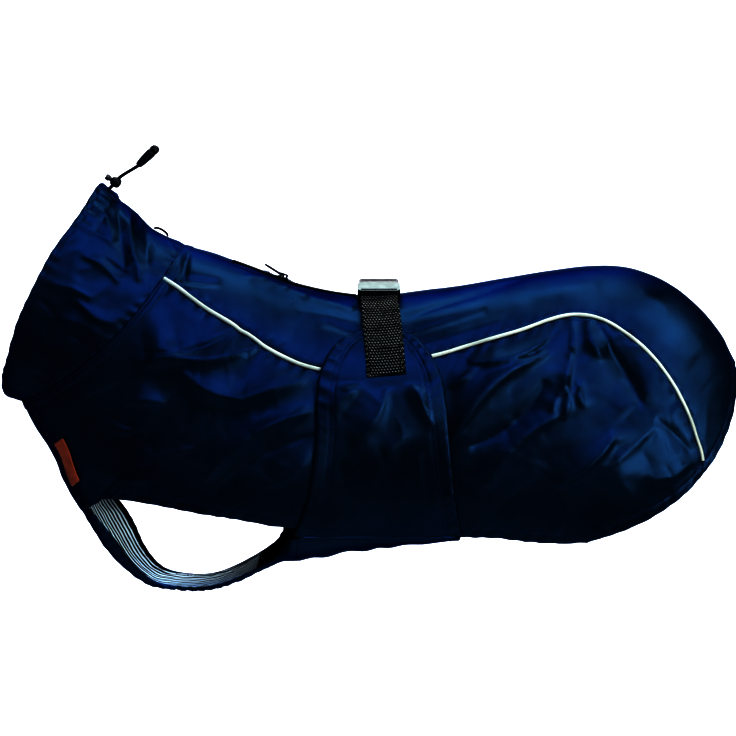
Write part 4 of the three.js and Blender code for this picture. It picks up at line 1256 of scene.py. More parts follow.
@dataclass(frozen=True)
class RainCloth(Finish):
    """Coated navy cloth of the shell."""

    name: str = "rain_cloth"
    deep: Colour = (0.0115, 0.0350, 0.061)
    light: Colour = (0.0190, 0.0530, 0.088)
    roughness: float = 0.31
    gloss: float = 0.8
    edge_tint: Colour = (0.11, 0.21, 0.34)

    def paint(self, nodes: NodeTree) -> None:
        """Sets the material's nodes."""
        cloud = nodes.noise(18, 4)
        threads = nodes.product(nodes.waves(2600, (0, 0, 0)), nodes.waves(2600, (0, 0, math.pi / 2)))
        crinkle = nodes.noise(75, 3, noise_type="RIDGED_MULTIFRACTAL")
        fine = nodes.noise(420, 2)
        bump = nodes.bump(crinkle, 0.00035, 0.5)
        bump = nodes.bump(fine, 0.00012, 0.5, bump)
        bump = nodes.bump(threads, 0.00006, 0.6, bump)
        rough = nodes.reach(cloud, 0.3, 0.7, self.roughness - 0.05, self.roughness + 0.07)
        colour = nodes.blend(nodes.reach(cloud, 0.35, 0.65), rgba(self.deep), rgba(self.light))
        nodes.dress(Base_Color=colour, Roughness=rough, Normal=bump, Metallic=self.gloss,
                    Specular_Tint=rgba(self.edge_tint), Specular_IOR_Level=0.0)


@dataclass(frozen=True)
class PlainWeave(Finish):
    """A woven finish: inner lining, tape, cord, binding or thread."""

    name: str
    dark: Colour
    light: Colour
    threads: float = 900
    height: float = 0.0002
    roughness: float = 0.8
    slanted: float = 0.0
    contrast: float = 1.0

    def paint(self, nodes: NodeTree) -> None:
        """Sets the material's nodes."""
        first = nodes.waves(self.threads, (0, 0, self.slanted), 0.6)
        second = nodes.waves(self.threads, (0, 0, self.slanted + math.pi / 2), 0.6)
        both = nodes.product(first, second)
        cloud = nodes.noise(60, 3)
        colour = nodes.blend(nodes.reach(both, 0.1, 0.8, 0, self.contrast), rgba(self.dark), rgba(self.light))
        worn = nodes.blend(nodes.reach(cloud, 0.3, 0.8, 0, 0.5), colour, rgba(self.dark))
        bump = nodes.bump(both, self.height, 0.8)
        nodes.dress(Base_Color=worn, Roughness=self.roughness, Normal=bump, Specular_IOR_Level=0.0)


@dataclass(frozen=True)
class StripedLining(Finish):
    """Black lining with white stripes that run along the strap."""

    name: str = "striped_lining"
    black: Colour = (0.006, 0.007, 0.009)
    white: Colour = (0.80, 0.94, 0.98)
    pitch: float = 3.0
    share: float = 0.42

    def paint(self, nodes: NodeTree) -> None:
        """Sets the material's nodes."""
        stripes = nodes.waves(1000 / self.pitch, (0, 0, 0), 2.6)
        edge = nodes.reach(stripes, self.share - 0.08, self.share + 0.08)
        grain = nodes.waves(1800, (0, 0, math.pi / 2), 0.4)
        cloud = nodes.noise(90, 3)
        white = nodes.blend(nodes.reach(cloud, 0.3, 0.8, 0, 0.5), rgba(self.white), (0.55, 0.70, 0.76, 1))
        colour = nodes.blend(edge, rgba(self.black), white)
        bump = nodes.bump(grain, 0.0001, 0.6, nodes.bump(stripes, 0.0003, 0.4))
        nodes.dress(Base_Color=colour, Roughness=0.7, Normal=bump, Specular_IOR_Level=0.2)


@dataclass(frozen=True)
class ReflectivePiping(Finish):
    """Grey-green reflective piping cloth."""

    name: str = "reflective_piping"
    colour: Colour = (0.41, 0.41, 0.325)

    def paint(self, nodes: NodeTree) -> None:
        """Sets the material's nodes."""
        beads = nodes.noise(2400, 1)
        cloud = nodes.noise(45, 3)
        colour = nodes.blend(nodes.reach(cloud, 0.35, 0.7), rgba(self.colour), (0.31, 0.31, 0.245, 1))
        bump = nodes.bump(beads, 0.00008, 0.7)
        nodes.dress(Base_Color=colour, Roughness=0.6, Normal=bump, Specular_IOR_Level=0.1)


@dataclass(frozen=True)
class BeltWebbing(Finish):
    """Black webbing with grey flecks in rows."""

    name: str = "belt_webbing"
    black: Colour = (0.0025, 0.0025, 0.003)
    fleck: Colour = (0.24, 0.235, 0.19)
    row: float = 2.3

    def paint(self, nodes: NodeTree) -> None:
        """Sets the material's nodes."""
        rows = nodes.waves(1000 / self.row, (0, 0, math.pi / 2), 0.3)
        slant = nodes.waves(1000 / 2.0, (0, 0, 0.5), 0.5)
        both = nodes.product(rows, slant)
        speck = nodes.noise(900, 2, "UV")
        share = nodes.product(nodes.reach(both, 0.36, 0.6), nodes.reach(speck, 0.3, 0.5))
        colour = nodes.blend(share, rgba(self.black), rgba(self.fleck))
        bump = nodes.bump(both, 0.0005, 0.8)
        nodes.dress(Base_Color=colour, Roughness=0.75, Normal=bump, Specular_IOR_Level=0.15)


@dataclass(frozen=True)
class MouldedPlastic(Finish):
    """Moulded plastic of buckle, cord lock and cord end, and the painted highlight on the buckle's top faces.
    """

    name: str
    colour: Colour
    roughness: float = 0.32
    grain: float = 0.00003
    sheen: float = 0.25

    def paint(self, nodes: NodeTree) -> None:
        """Sets the material's nodes."""
        cloud = nodes.noise(140, 3)
        paler = tuple(min(1.0, c * 1.5 + 0.004) for c in self.colour)
        colour = nodes.blend(nodes.reach(cloud, 0.4, 0.75, 0, 0.5), rgba(self.colour), rgba(paler))
        rough = nodes.reach(cloud, 0.3, 0.7, self.roughness - 0.05, self.roughness + 0.08)
        bump = nodes.bump(nodes.noise(2600, 1), self.grain, 0.6)
        nodes.dress(Base_Color=colour, Roughness=rough, Normal=bump, Specular_IOR_Level=self.sheen)


@dataclass(frozen=True)
class BlackMetal(Finish):
    """Black enamelled zip metal, with worn scuffs scattered over it."""

    name: str = "black_metal"

    def paint(self, nodes: NodeTree) -> None:
        """Sets the material's nodes."""
        scuff = nodes.noise(700, 3)
        colour = nodes.blend(nodes.reach(scuff, 0.62, 0.75), (0.010, 0.010, 0.012, 1), (0.10, 0.10, 0.11, 1))
        nodes.dress(Base_Color=colour, Metallic=0.75, Roughness=nodes.reach(scuff, 0.3, 0.7, 0.26, 0.42),
                    Normal=nodes.bump(scuff, 0.00004, 0.5), Specular_IOR_Level=0.1,
                    Specular_Tint=(0.15, 0.15, 0.17, 1))


@dataclass(frozen=True)
class PatchLeather(Finish):
    """Orange-brown leather of the bare patch."""

    name: str = "patch_leather"

    def paint(self, nodes: NodeTree) -> None:
        """Sets the material's nodes."""
        cell = nodes.add("TexVoronoi", {"feature": "DISTANCE_TO_EDGE"}, Scale=1400.0)
        nodes.tree.links.new(nodes.place.outputs["Object"], cell.inputs["Vector"])
        cloud = nodes.noise(160, 4)
        colour = nodes.blend(nodes.reach(cloud, 0.3, 0.7), (0.30, 0.065, 0.020, 1), (0.42, 0.10, 0.034, 1))
        bump = nodes.bump(nodes.reach(cell.outputs[0], 0, 0.12), 0.0001, 0.5)
        nodes.dress(Base_Color=colour, Roughness=0.5, Normal=bump)


@dataclass
class Finishes:
    """Every finish of the coat, built once."""

    shell: bpy.types.Material = made(RainCloth())
    inside: bpy.types.Material = made(PlainWeave(
        "inner_lining", (0.008, 0.010, 0.014), (0.022, 0.026, 0.034), 700))
    stripes: bpy.types.Material = made(StripedLining())
    piping: bpy.types.Material = made(ReflectivePiping())
    webbing: bpy.types.Material = made(BeltWebbing())
    tape: bpy.types.Material = made(PlainWeave(
        "zip_tape", (0.004, 0.004, 0.006), (0.014, 0.015, 0.02), 900, 0.00015, 0.8, 0.6))
    binding: bpy.types.Material = made(PlainWeave(
        "strap_binding", (0.002, 0.004, 0.010), (0.006, 0.010, 0.022), 900, 0.00012, 0.6))
    cord: bpy.types.Material = made(PlainWeave(
        "braided_cord", (0.004, 0.004, 0.005), (0.03, 0.03, 0.034), 1500, 0.0002, 0.7, 0.7))
    thread: bpy.types.Material = made(PlainWeave(
        "navy_thread", (0.030, 0.044, 0.105), (0.060, 0.080, 0.16), 3000, 0.00005, 0.6))
    black: bpy.types.Material = made(MouldedPlastic(
        "black_plastic", (0.006, 0.006, 0.007), 0.28))
    # Painted highlight: the top light's grey reflection, painted as a colour on the black buckle's upward
    # faces.
    grey: bpy.types.Material = made(MouldedPlastic(
        "buckle_top_painted_highlight", (0.19, 0.205, 0.182), 0.5, sheen=0.0))
    metal: bpy.types.Material = made(BlackMetal())
    leather: bpy.types.Material = made(PatchLeather())


def dress_piece(obj: bpy.types.Object, node: str | None, slot: str, *materials: bpy.types.Material,
                body: str = COAT) -> None:
    """Gives a piece its finishes, lets it ride on a body and stand for a node.

    Args:
        obj: The piece.
        node: The node that it stands for, or None where it stands for none.
        slot: Its material slot in the record; not used.
        *materials: The finishes, outer face first.
        body: The body it rides on.
    """
    for material in materials:
        obj.data.materials.append(material)
    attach(obj, body)
    if node is not None:
        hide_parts(node)


def facing(grid: ClothGrid, outward: np.ndarray) -> float:
    """1 where a grid's own directions point out, or else -1."""
    return float(np.sign((grid.normals * outward).sum(-1).mean()))


def turned_out(grid: ClothGrid, outward: np.ndarray, lines: Sequence) -> list:
    """Lines of a grid, with their directions pointing out."""
    sign = facing(grid, outward)
    return [(points, normals * sign) for points, normals in lines]


def declare_cloth(obj: bpy.types.Object, grid: ClothGrid) -> None:
    """Works out a piece's cloth area and the size of its cut, and keeps neither.

    Args:
        obj: The piece.
        grid: Its outer face.
    """
    area = sum(face.area for face in obj.data.polygons) / 2
    width, length = (size * CUT_MARGIN for size in grid.flat_size())
    area = min(area, width * length)


def spaced(stops: Sequence[float], cells: Sequence[int]) -> np.ndarray:
    """Evenly spaced values that run through the given stops."""
    parts = [np.linspace(a, b, n + 1)[:-1] for a, b, n in zip(stops[:-1], stops[1:], cells)]
    return np.concatenate([*parts, [stops[-1]]])


def seam_dimples(place: np.ndarray, distance: np.ndarray, height: float = 0.35, wave: float = 11,
                 reach: float = 7) -> np.ndarray:
    """Small puckers along a seam."""
    phase = 2 * math.pi * place / wave + 1.4 * np.sin(place / 17.0) + 0.9 * np.sin(place / 7.3 + 1)
    return height * np.sin(phase) * bell(distance / reach)


def groove(distance: np.ndarray, level: float, depth: float = 0.3, width: float = 1.1) -> np.ndarray:
    """The dent of a stitch line."""
    return -depth * bell((distance - level) / width)


@dataclass
class Shell:
    """The back, side and chest panels with their piping."""

    finishes: Finishes
    rows: int = 330
    side_columns: int = 112
    back_columns: int = 34
    seam_band: float = 6.2
    seam_line: float = 1.2
    band_height: float = 0.9
    piping_line: float = 4.2
    leg_line: float = 12.5
    hem: float = 7.5
    zip_half_slit: float = 9.5
    slit_lip: tuple[float, float, float] = (10.2, -0.3, 1.6)
    slit_line: tuple[float, float, float] = (13.2, 0.5, 1.2)
    under_piping: float = 0.7
    closed_seam: float = 0.02
    piping_radius: float = 1.7
    piping_taper: float = 0.22
    chest_line: float = 3.5
    thread: Thread = field(default_factory=Thread)

    def felled(self, distance: np.ndarray) -> np.ndarray:
        """The raised band of the felled collar seam."""
        band = self.band_height * (1 - smooth_step((distance - self.seam_band) / 0.8))
        return band + groove(distance, self.seam_band - 1) + groove(distance, self.seam_line)

    def seam_half(self, t: np.ndarray) -> np.ndarray:
        """How far a panel's edge stays from the piping seam, which closes where the piping ends."""
        return np.where(t < FORM.piping_places[-1, 0], self.under_piping, self.closed_seam)

    def face(self, t: np.ndarray, angle: np.ndarray) -> tuple[ClothGrid, np.ndarray]:
        """The creased cloth of a panel and its directions out."""
        t_grid = t + 0 * angle
        return ClothGrid(FORM.cloth(t_grid, angle, 0)), FORM.outward(FORM.body, t_grid, angle)

    def dressed(self, base: ClothGrid, extra: np.ndarray,
                outward: np.ndarray) -> tuple[np.ndarray, np.ndarray]:
        """The outer and inner face of a panel."""
        outer = base.points + extra[..., None] * outward
        return outer, base.points + (np.minimum(extra, 0) - FORM.wall)[..., None] * outward

    def back(self) -> bpy.types.Object:
        """Makes the back panel with its slit and stitching."""
        slit_ends = [FORM.spine_section(x) for x in FORM.zip_range]
        cells = (32, 100, self.rows - 132)
        t = spaced((0, *slit_ends, FORM.last), cells)[:, None]
        edge = FORM.piping_angle(t)
        outer_angle = edge - FORM.angle_step(t, edge, self.seam_half(t))
        slit = FORM.angle_of_width(t, self.zip_half_slit)
        n = self.back_columns
        f = np.linspace(0, 1, n + 1)[None, :]
        right = slit + (outer_angle - slit) * f
        angle = np.hstack([-right[:, ::-1], right])
        base, outward = self.face(t, angle)
        over, side = base.over, base.side
        y = np.abs(base.points[..., 1])
        front, rear = FORM.zip_range
        x = base.points[..., 0]
        in_slit = smooth_step((x - front) / 4) * smooth_step((rear - x) / 4)
        lip = in_slit * (groove(y, *self.slit_lip) + groove(y, *self.slit_line))
        down = base.down
        extra = self.felled(down) + seam_dimples(down, side) + lip
        extra += seam_dimples(over, down[-1:] - down, 0.4, 13) + groove(down[-1:] - down, self.hem)
        extra += -0.7 * bell(side / 1.6)
        outer, inner = self.dressed(base, extra, outward)
        cut = lambda i, j: j == n and cells[0] <= i < cells[0] + cells[1]
        obj = cloth_wall("back_panel_cloth", outer, inner, cut=cut)
        grid = ClothGrid(outer)
        lines = [grid.line_down(self.seam_band - 1), grid.line_down(self.seam_line),
                 grid.line_down(self.hem, True), grid.line_over(self.piping_line),
                 grid.line_over(self.piping_line, True)]
        rows = slice(cells[0], cells[0] + cells[1] + 1)
        for column in (n - 5, n + 6):
            lines.append((outer[rows, column], outward[rows, column]))
        return self.finish(obj, grid, "back_panel", lines)

    def side_panel(self, side: Side) -> bpy.types.Object:
        """Makes one side panel with its stitching.

        Args:
            side: Which side.

        Returns:
            The object.
        """
        t = spaced((0, FORM.chest_end, FORM.last), (80, self.rows - 80))[:, None]
        edge = FORM.piping_angle(t)
        top = edge + FORM.angle_step(t, edge, self.seam_half(t))
        end = FORM.end_angle(t)
        low = end - FORM.angle_step(t, end, 0.15)
        f = np.linspace(0, 1, self.side_columns + 1)[None, :]
        angle = side.value * (top + (low - top) * f)
        base, outward = self.face(t, angle)
        over, down = base.over, base.down
        to_low, to_rear = over[:, -1:] - over, down[-1:] - down
        free = smooth_step((t - FORM.chest_end) / 0.8)
        extra = self.felled(down) + seam_dimples(down, over, 0.45, 12, 9)
        extra += (seam_dimples(down, to_low, 0.5, 14, 9) + groove(to_low, self.hem)) * free
        extra += seam_dimples(over, to_rear, 0.4, 13) + groove(to_rear, self.hem)
        extra += -0.7 * bell(over / 1.6)
        outer, inner = self.dressed(base, extra, outward)
        obj = cloth_wall(f"side_panel_{side.hand}_cloth", outer, inner)
        grid = ClothGrid(outer)
        low_points, low_out = grid.line_over(self.hem, True)
        leg_points, leg_out = grid.line_over(self.leg_line, True)
        hem_rows, leg_rows = slice(86, None), slice(86, 124)
        lines = [grid.line_down(self.seam_band - 1), grid.line_down(self.seam_line),
                 grid.line_down(self.hem, True), (low_points[hem_rows], low_out[hem_rows]),
                 (leg_points[leg_rows], leg_out[leg_rows]), grid.line_over(self.piping_line)]
        return self.finish(obj, grid, f"side_panel_{side.hand}", turned_out(grid, outward, lines))

    def chest(self) -> bpy.types.Object:
        """Makes the chest panel."""
        t = np.linspace(0.01, FORM.chest_end, 60)[:, None]
        end = FORM.end_angle(t)
        start = end + FORM.angle_step(t, end, 0.15)
        f = np.linspace(0, 1, 31)[None, :]
        angle = start + (2 * math.pi - 2 * start) * f
        base, outward = self.face(t, angle)
        down, side = base.down, base.side
        extra = self.felled(down) + seam_dimples(down, side, 0.4, 10, 5) - 0.6 * bell(side / 1.4)
        outer, inner = self.dressed(base, extra, outward)
        obj = cloth_wall("chest_panel_cloth", outer, inner)
        grid = ClothGrid(outer)
        lines = [grid.line_down(self.seam_band - 1), grid.line_over(self.chest_line),
                 grid.line_over(self.chest_line, True)]
        return self.finish(obj, grid, "chest_panel", turned_out(grid, outward, lines))

    def piping(self, side: Side) -> bpy.types.Object:
        """Makes the reflective piping of one side.

        Args:
            side: Which side.

        Returns:
            The object.
        """
        t = np.linspace(0.02, float(FORM.piping_places[-1, 0]), 260)
        angle = side.value * FORM.piping_angle(t)
        middle = FORM.cloth(t, angle, -0.15)
        up = FORM.outward(FORM.body, t, angle)
        s = run_length(middle)
        shape = 1 - self.piping_taper * (s / s[-1]) + 0.05 * np.sin(s / 5.3) * np.sin(s / 13.1)
        corners, faces = sweep(middle, self.piping_radius * shape, 12, up)
        obj = mesh_object(f"piping_{side.hand}_cord", corners, faces, sharp_degrees=60)
        face_outward(obj.data)
        dress_piece(obj, f"piping_{side.hand}", "piping", self.finishes.piping)
        return obj

    def finish(self, obj: bpy.types.Object, grid: ClothGrid, node: str, lines: Sequence) -> bpy.types.Object:
        """Gives a panel its cloth, body, node and stitching.

        Args:
            obj: The panel.
            grid: Its outer face.
            node: The node that it stands for.
            lines: Its stitch lines.

        Returns:
            The panel.
        """
        dress_piece(obj, node, "shell", self.finishes.shell, self.finishes.inside)
        sewn = stitch_object(f"{node}_stitching", lines, self.thread, self.finishes.thread)
        declare_cloth(obj, grid)
        LOG.info("%s: %d faces", obj.name, len(obj.data.polygons))
        return obj

    def build(self) -> None:
        """Makes all panels and the piping."""
        self.back()
        self.chest()
        for side in Side:
            self.side_panel(side)
            self.piping(side)


@dataclass
class Collar:
    """The tall collar with its drawcord casing, buttonhole and loop."""

    finishes: Finishes
    rows: int = 104
    columns: int = 380
    edge_line: float = 3.6
    casing_line: float = 17
    thread: Thread = field(default_factory=Thread)

    def build(self) -> None:
        """Makes the collar, its stitching, buttonhole and loop."""
        along = np.linspace(0.002, 1, self.rows)[:, None]
        angle = -full_turn(self.columns)[None, :]
        along, angle = np.broadcast_arrays(along, angle)
        base = ClothGrid(FORM.collar_cloth(along, angle, 0))
        n = -FORM.outward(FORM.collar, along, angle)
        down, over = base.down, base.over
        to_edge = down[-1:] - down
        near_top = bell(np.arctan2(np.sin(angle), np.cos(angle)) / 0.75)
        casing = FORM.casing_extra * smooth_step((along - FORM.casing_from) / 0.05) * near_top
        gathers = seam_dimples(over, to_edge, 0.7, 9.5, 16) * smooth_step(to_edge / 2 + 0.2) * near_top
        extra = casing + gathers + groove(to_edge, self.casing_line, 0.4) * near_top + groove(down, 1.2, 0.3)
        extra = extra + groove(to_edge, self.edge_line, 0.35) + seam_dimples(over, to_edge, 0.3, 12, 7)
        extra = extra + seam_dimples(over, down, 0.35, 10, 6)
        outer = base.points + extra[..., None] * n
        inner = base.points - FORM.wall * n
        obj = cloth_wall("collar_cloth", outer, inner, closed=True)
        dress_piece(obj, "collar", "shell", self.finishes.shell, self.finishes.inside)
        looped = ClothGrid(np.concatenate([outer, outer[:, :1]], 1))
        sign = float(np.sign((looped.normals[:, :-1] * n).sum(-1).mean()))
        points, normals = looped.line_down(self.casing_line, True)
        wrap = len(points) // 8
        lines = [(points[:wrap], normals[:wrap]), (points[-wrap:], normals[-wrap:]),
                 looped.line_down(self.edge_line, True), looped.line_down(1.3)]
        lines = [(p, d * sign) for p, d in lines]
        sewn = stitch_object("collar_stitching", lines, self.thread, self.finishes.thread)
        hole = self.buttonhole()
        declare_cloth(obj, looped)
        self.loop()
        LOG.info("collar: %d faces", len(obj.data.polygons))

    def buttonhole(self) -> bpy.types.Object:
        """Makes the sewn rim of the drawcord's buttonhole, beside the top of the collar."""
        turn = np.linspace(0, 2 * math.pi, 40)
        along = 0.885 + 0.085 * np.sin(turn)
        angle = -0.17 + 0.055 * np.cos(turn)
        points = FORM.collar_cloth(along, angle, FORM.casing_extra + 0.35)
        up = -FORM.outward(FORM.collar, along, angle)
        obj = mesh_object("buttonhole_rim", *sweep(points, 0.42, 8, up), sharp_degrees=180)
        dress_piece(obj, None, "shell", self.finishes.thread)
        return obj

    def loop(self) -> None:
        """Makes the small cord loop on the back of the collar."""
        turn = np.linspace(-0.15, math.pi + 0.15, 30)
        lift = 0.95 + 2.2 * np.sin(turn)
        points = FORM.collar_cloth(0.27 - 0.075 * np.cos(turn), 0 * turn, lift, 0)
        corners, faces = sweep(points, 0.75, 10, np.tile([0.0, 1.0, 0.0], (len(points), 1)))
        obj = mesh_object("collar_loop_cord", corners, faces, sharp_degrees=60)
        face_outward(obj.data)
        dress_piece(obj, "collar_loop", "cord", self.finishes.cord)


@dataclass
class Underside:
    """The strap between the front legs, its gathered lining, and the belly with its wings."""

    finishes: Finishes
    strap_rows: int = 120
    strap_columns: int = 44
    binding: float = 3.4
    belly_hem: float = 6.5
    belly_line: float = 3
    wing_inset: tuple[float, float] = (9.5, 12.5)
    thread: Thread = field(default_factory=Thread)

    def strap(self) -> None:
        """Makes the strap with bound edges."""
        end = len(UNDERBODY) - 1
        station = np.linspace(0.02, end, self.strap_rows)[:, None]
        across = np.linspace(1, -1, self.strap_columns)[None, :]
        station, across = np.broadcast_arrays(station, across)
        base = ClothGrid(FORM.strap_cloth(station, across, 0))
        down, side = base.down, base.side
        ripple = seam_dimples(down, side, 0.5, 8, 12) + 0.3 * crumple(base.points, 9, 0.9)
        fade = smooth_step(station / 0.5) * smooth_step((end - station) / 0.5)
        outer = FORM.strap_cloth(station, across, ripple * fade)
        rolled = 0.9 * (1 - smooth_step((side - self.binding) / 0.8)) * fade
        inner = FORM.strap_cloth(station, across, -FORM.wall - rolled + 0.4 * ripple * fade)
        obj = cloth_wall("chest_strap_cloth", outer, inner)
        dress_piece(obj, "chest_strap", "shell", self.finishes.shell, self.finishes.binding)
        grid, back = ClothGrid(outer), ClothGrid(inner)
        out = unit(outer - inner)
        sign = facing(grid, out)
        lines = [(p, n * sign) for p, n in (grid.line_over(2.8), grid.line_over(2.8, True))]
        lines += [(p, -n * sign) for p, n in (back.line_over(1.6), back.line_over(1.6, True))]
        sewn = stitch_object("chest_strap_stitching", lines, self.thread, self.finishes.thread)
        declare_cloth(obj, grid)

    def lining(self) -> None:
        """Makes the gathered striped lining."""
        end = len(UNDERBODY) - 1
        rows = 150
        last = 0.06 + (end - 0.06) * 14 / 18
        station = np.linspace(0.08, last, rows)[:, None]
        across = np.linspace(0.9, -0.9, 60)[None, :]
        station, across = np.broadcast_arrays(station, across)
        base = ClothGrid(FORM.strap_cloth(station, across, -FORM.wall - 0.7))
        down = base.down
        u = across * 23
        gather = 0.55 * np.sin(u / 0.9 + 1.6 * np.sin(down / 9.0) + 0.8 * np.sin(down / 3.7 + u / 4))
        gather += 0.45 * np.sin(down / 2.4 + 2.2 * np.sin(u / 5.0) + 1.1 * np.sin(down / 11.0))
        ends = smooth_step((0.9 - np.abs(across)) / 0.1)
        outer = FORM.strap_cloth(station, across, -FORM.wall - 0.75 - (0.5 + 0.42 * gather) * ends)
        inner = FORM.strap_cloth(station, across, -FORM.wall - 0.2)
        obj = cloth_wall("strap_lining_cloth", outer, inner)
        dress_piece(obj, "strap_lining", "lining", self.finishes.stripes, self.finishes.stripes)
        declare_cloth(obj, ClothGrid(outer))

    def belly(self) -> None:
        """Makes the belly panel."""
        along = np.linspace(0, 1, 70)[:, None]
        across = np.linspace(1, -1, 90)[None, :]
        along, across = np.broadcast_arrays(along, across)
        points = FORM.belly(along, across)
        middle = 1 - np.abs(across) ** 4
        x, y = points[..., 0], points[..., 1]
        ripple = 0.9 * np.sin(x / 4.3 + 1.7 * np.sin(y / 19) + np.sin(x / 11))
        ripple = ripple * middle * (0.35 + 0.65 * bell((along - 0.35) / 0.3))
        ripple += 0.6 * crumple(points, 17, 5.1) * middle
        ripple *= smooth_step(along / 0.06)
        outer = points + ripple[..., None] * np.array([0, 0, -1.0])
        inner = points + (np.minimum(-ripple, 0.6) * 0.5 + FORM.wall)[..., None] * np.array([0, 0, 1.0])
        obj = cloth_wall("belly_panel_cloth", outer, inner)
        dress_piece(obj, "belly_panel", "shell", self.finishes.shell, self.finishes.inside)
        grid = ClothGrid(outer)
        lines = [grid.line_down(self.belly_hem, True), grid.line_down(self.belly_line),
                 grid.line_over(self.belly_line), grid.line_over(self.belly_line, True)]
        lines = turned_out(grid, np.array([0, 0, -1.0]), lines)
        sewn = stitch_object("belly_stitching", lines, self.thread, self.finishes.thread)
        declare_cloth(obj, grid)

    def wing_line(self, inset: float) -> tuple[np.ndarray, np.ndarray]:
        """A line inside a wing's edge, in the side view.

        Args:
            inset: Distance from the edge.

        Returns:
            Places along the coat and heights.
        """
        at = np.linspace(len(WING_OUTLINE) - 1.05, 0, 90)
        rows = read_table(WING_OUTLINE, at)
        front = np.stack([rows[:, 1], rows[:, 0]], 1)
        rear = np.stack([rows[:, 2], rows[:, 0]], 1)[::-1]
        over = np.linspace(front[-1], rear[0], 12)[1:-1]
        outline = np.concatenate([front, over, rear])
        outline, _ = resample(np.pad(outline, ((0, 0), (0, 1))), np.ones((len(outline), 3)), 2.0)
        along = unit(np.gradient(outline[:, :2], axis=0))
        blur = np.ones(9) / 9
        padded = np.pad(along, ((4, 4), (0, 0)), mode="edge")
        along = unit(np.stack([np.convolve(padded[:, k], blur, "valid") for k in (0, 1)], 1))
        inward = np.stack([along[:, 1], -along[:, 0]], 1)
        line = outline[:, :2] + inset * inward
        return line[:, 0], line[:, 1]

    def wing(self, side: Side) -> None:
        """Makes one wing with its double topstitching.

        Args:
            side: Which side.
        """
        down = np.linspace(0, 1, 130) ** 1.15
        z, front, rear = read_table(WING_OUTLINE, down * (len(WING_OUTLINE) - 1)).T
        f = np.linspace(0, 1, 88)[None, :]
        x = front[:, None] + (rear - front)[:, None] * f
        z = z[:, None] + 0 * x
        sign = np.full(x.shape, side.value)
        base = ClothGrid(FORM.wing_cloth(sign, x, z, FORM.wing_wall))
        over, below = base.over, base.down
        edge = np.minimum(base.side, below + 1.5)
        first, second = self.wing_inset
        extra = groove(edge, first, 0.4) + groove(edge, second, 0.4)
        extra += seam_dimples(below + over * 0.2, edge, 0.35, 10, 11) - 0.5 * bell(edge / 1.3)
        outer = FORM.wing_cloth(sign, x, z, FORM.wing_wall + extra)
        inner = FORM.wing_cloth(sign, x, z, 0)
        obj = cloth_wall(f"wing_{side.hand}_cloth", outer, inner)
        dress_piece(obj, f"wing_{side.hand}", "shell", self.finishes.shell, self.finishes.inside)
        lines = []
        for inset in (*self.wing_inset, 2.2):
            line_x, line_z = self.wing_line(inset)
            signs = np.full(line_x.shape, side.value)
            points = FORM.wing_cloth(signs, line_x, line_z, FORM.wing_wall - 0.15)
            higher = FORM.wing_cloth(signs, line_x, line_z, FORM.wing_wall + 1)
            lines.append((points, unit(higher - points)))
        sewn = stitch_object(f"wing_{side.hand}_stitching", lines, self.thread, self.finishes.thread)
        declare_cloth(obj, ClothGrid(outer))

    def build(self) -> None:
        """Makes strap, lining, belly and wings."""
        self.strap()
        self.lining()
        self.belly()
        for side in Side:
            self.wing(side)
        LOG.info("underside done")


def rounded_copy(node: str, name: str, body: str, slot: str, material: bpy.types.Material, width: float,
                 segments: int = 3, sides: bpy.types.Material | None = None) -> bpy.types.Object:
    """Makes a copy of a hard solid with rounded edges, and lets it stand for the solid.

    Args:
        node: The solid's node.
        name: The new piece's name.
        body: The body it rides on.
        slot: Its material slot in the record.
        material: Its finish; where sides is given, a painted highlight of the top light, put on the faces that
            face up.
        width: The rounding in millimetres.
        segments: Steps of the rounding.
        sides: The plastic's own finish for the faces that don't face up, where the upward faces carry a painted
            highlight.

    Returns:
        The new piece.
    """
    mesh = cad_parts[node].data.copy()
    mesh.materials.clear()
    work = bmesh.new()
    work.from_mesh(mesh)
    bmesh.ops.remove_doubles(work, verts=work.verts, dist=1e-6)
    bmesh.ops.dissolve_limit(work, angle_limit=math.radians(2), verts=work.verts, edges=work.edges)
    sharp = [e for e in work.edges if len(e.link_faces) == 2 and e.calc_face_angle(0) > math.radians(28)]
    bmesh.ops.bevel(work, geom=sharp, offset=width * MM, segments=segments, profile=0.5, affect="EDGES",
                    clamp_overlap=True)
    work.to_mesh(mesh)
    work.free()
    mesh.shade_smooth()
    mesh.set_sharp_from_angle(angle=math.radians(40))
    obj = new_object(name, mesh)
    finishes = [material] if sides is None else [material, sides]
    dress_piece(obj, node, slot, *finishes, body=body)
    # Faces that face up take the painted highlight of the top light; the others keep the plastic's own black.
    if sides is not None:
        for face in obj.data.polygons:
            face.material_index = 0 if face.normal.z > 0.6 else 1
    return obj


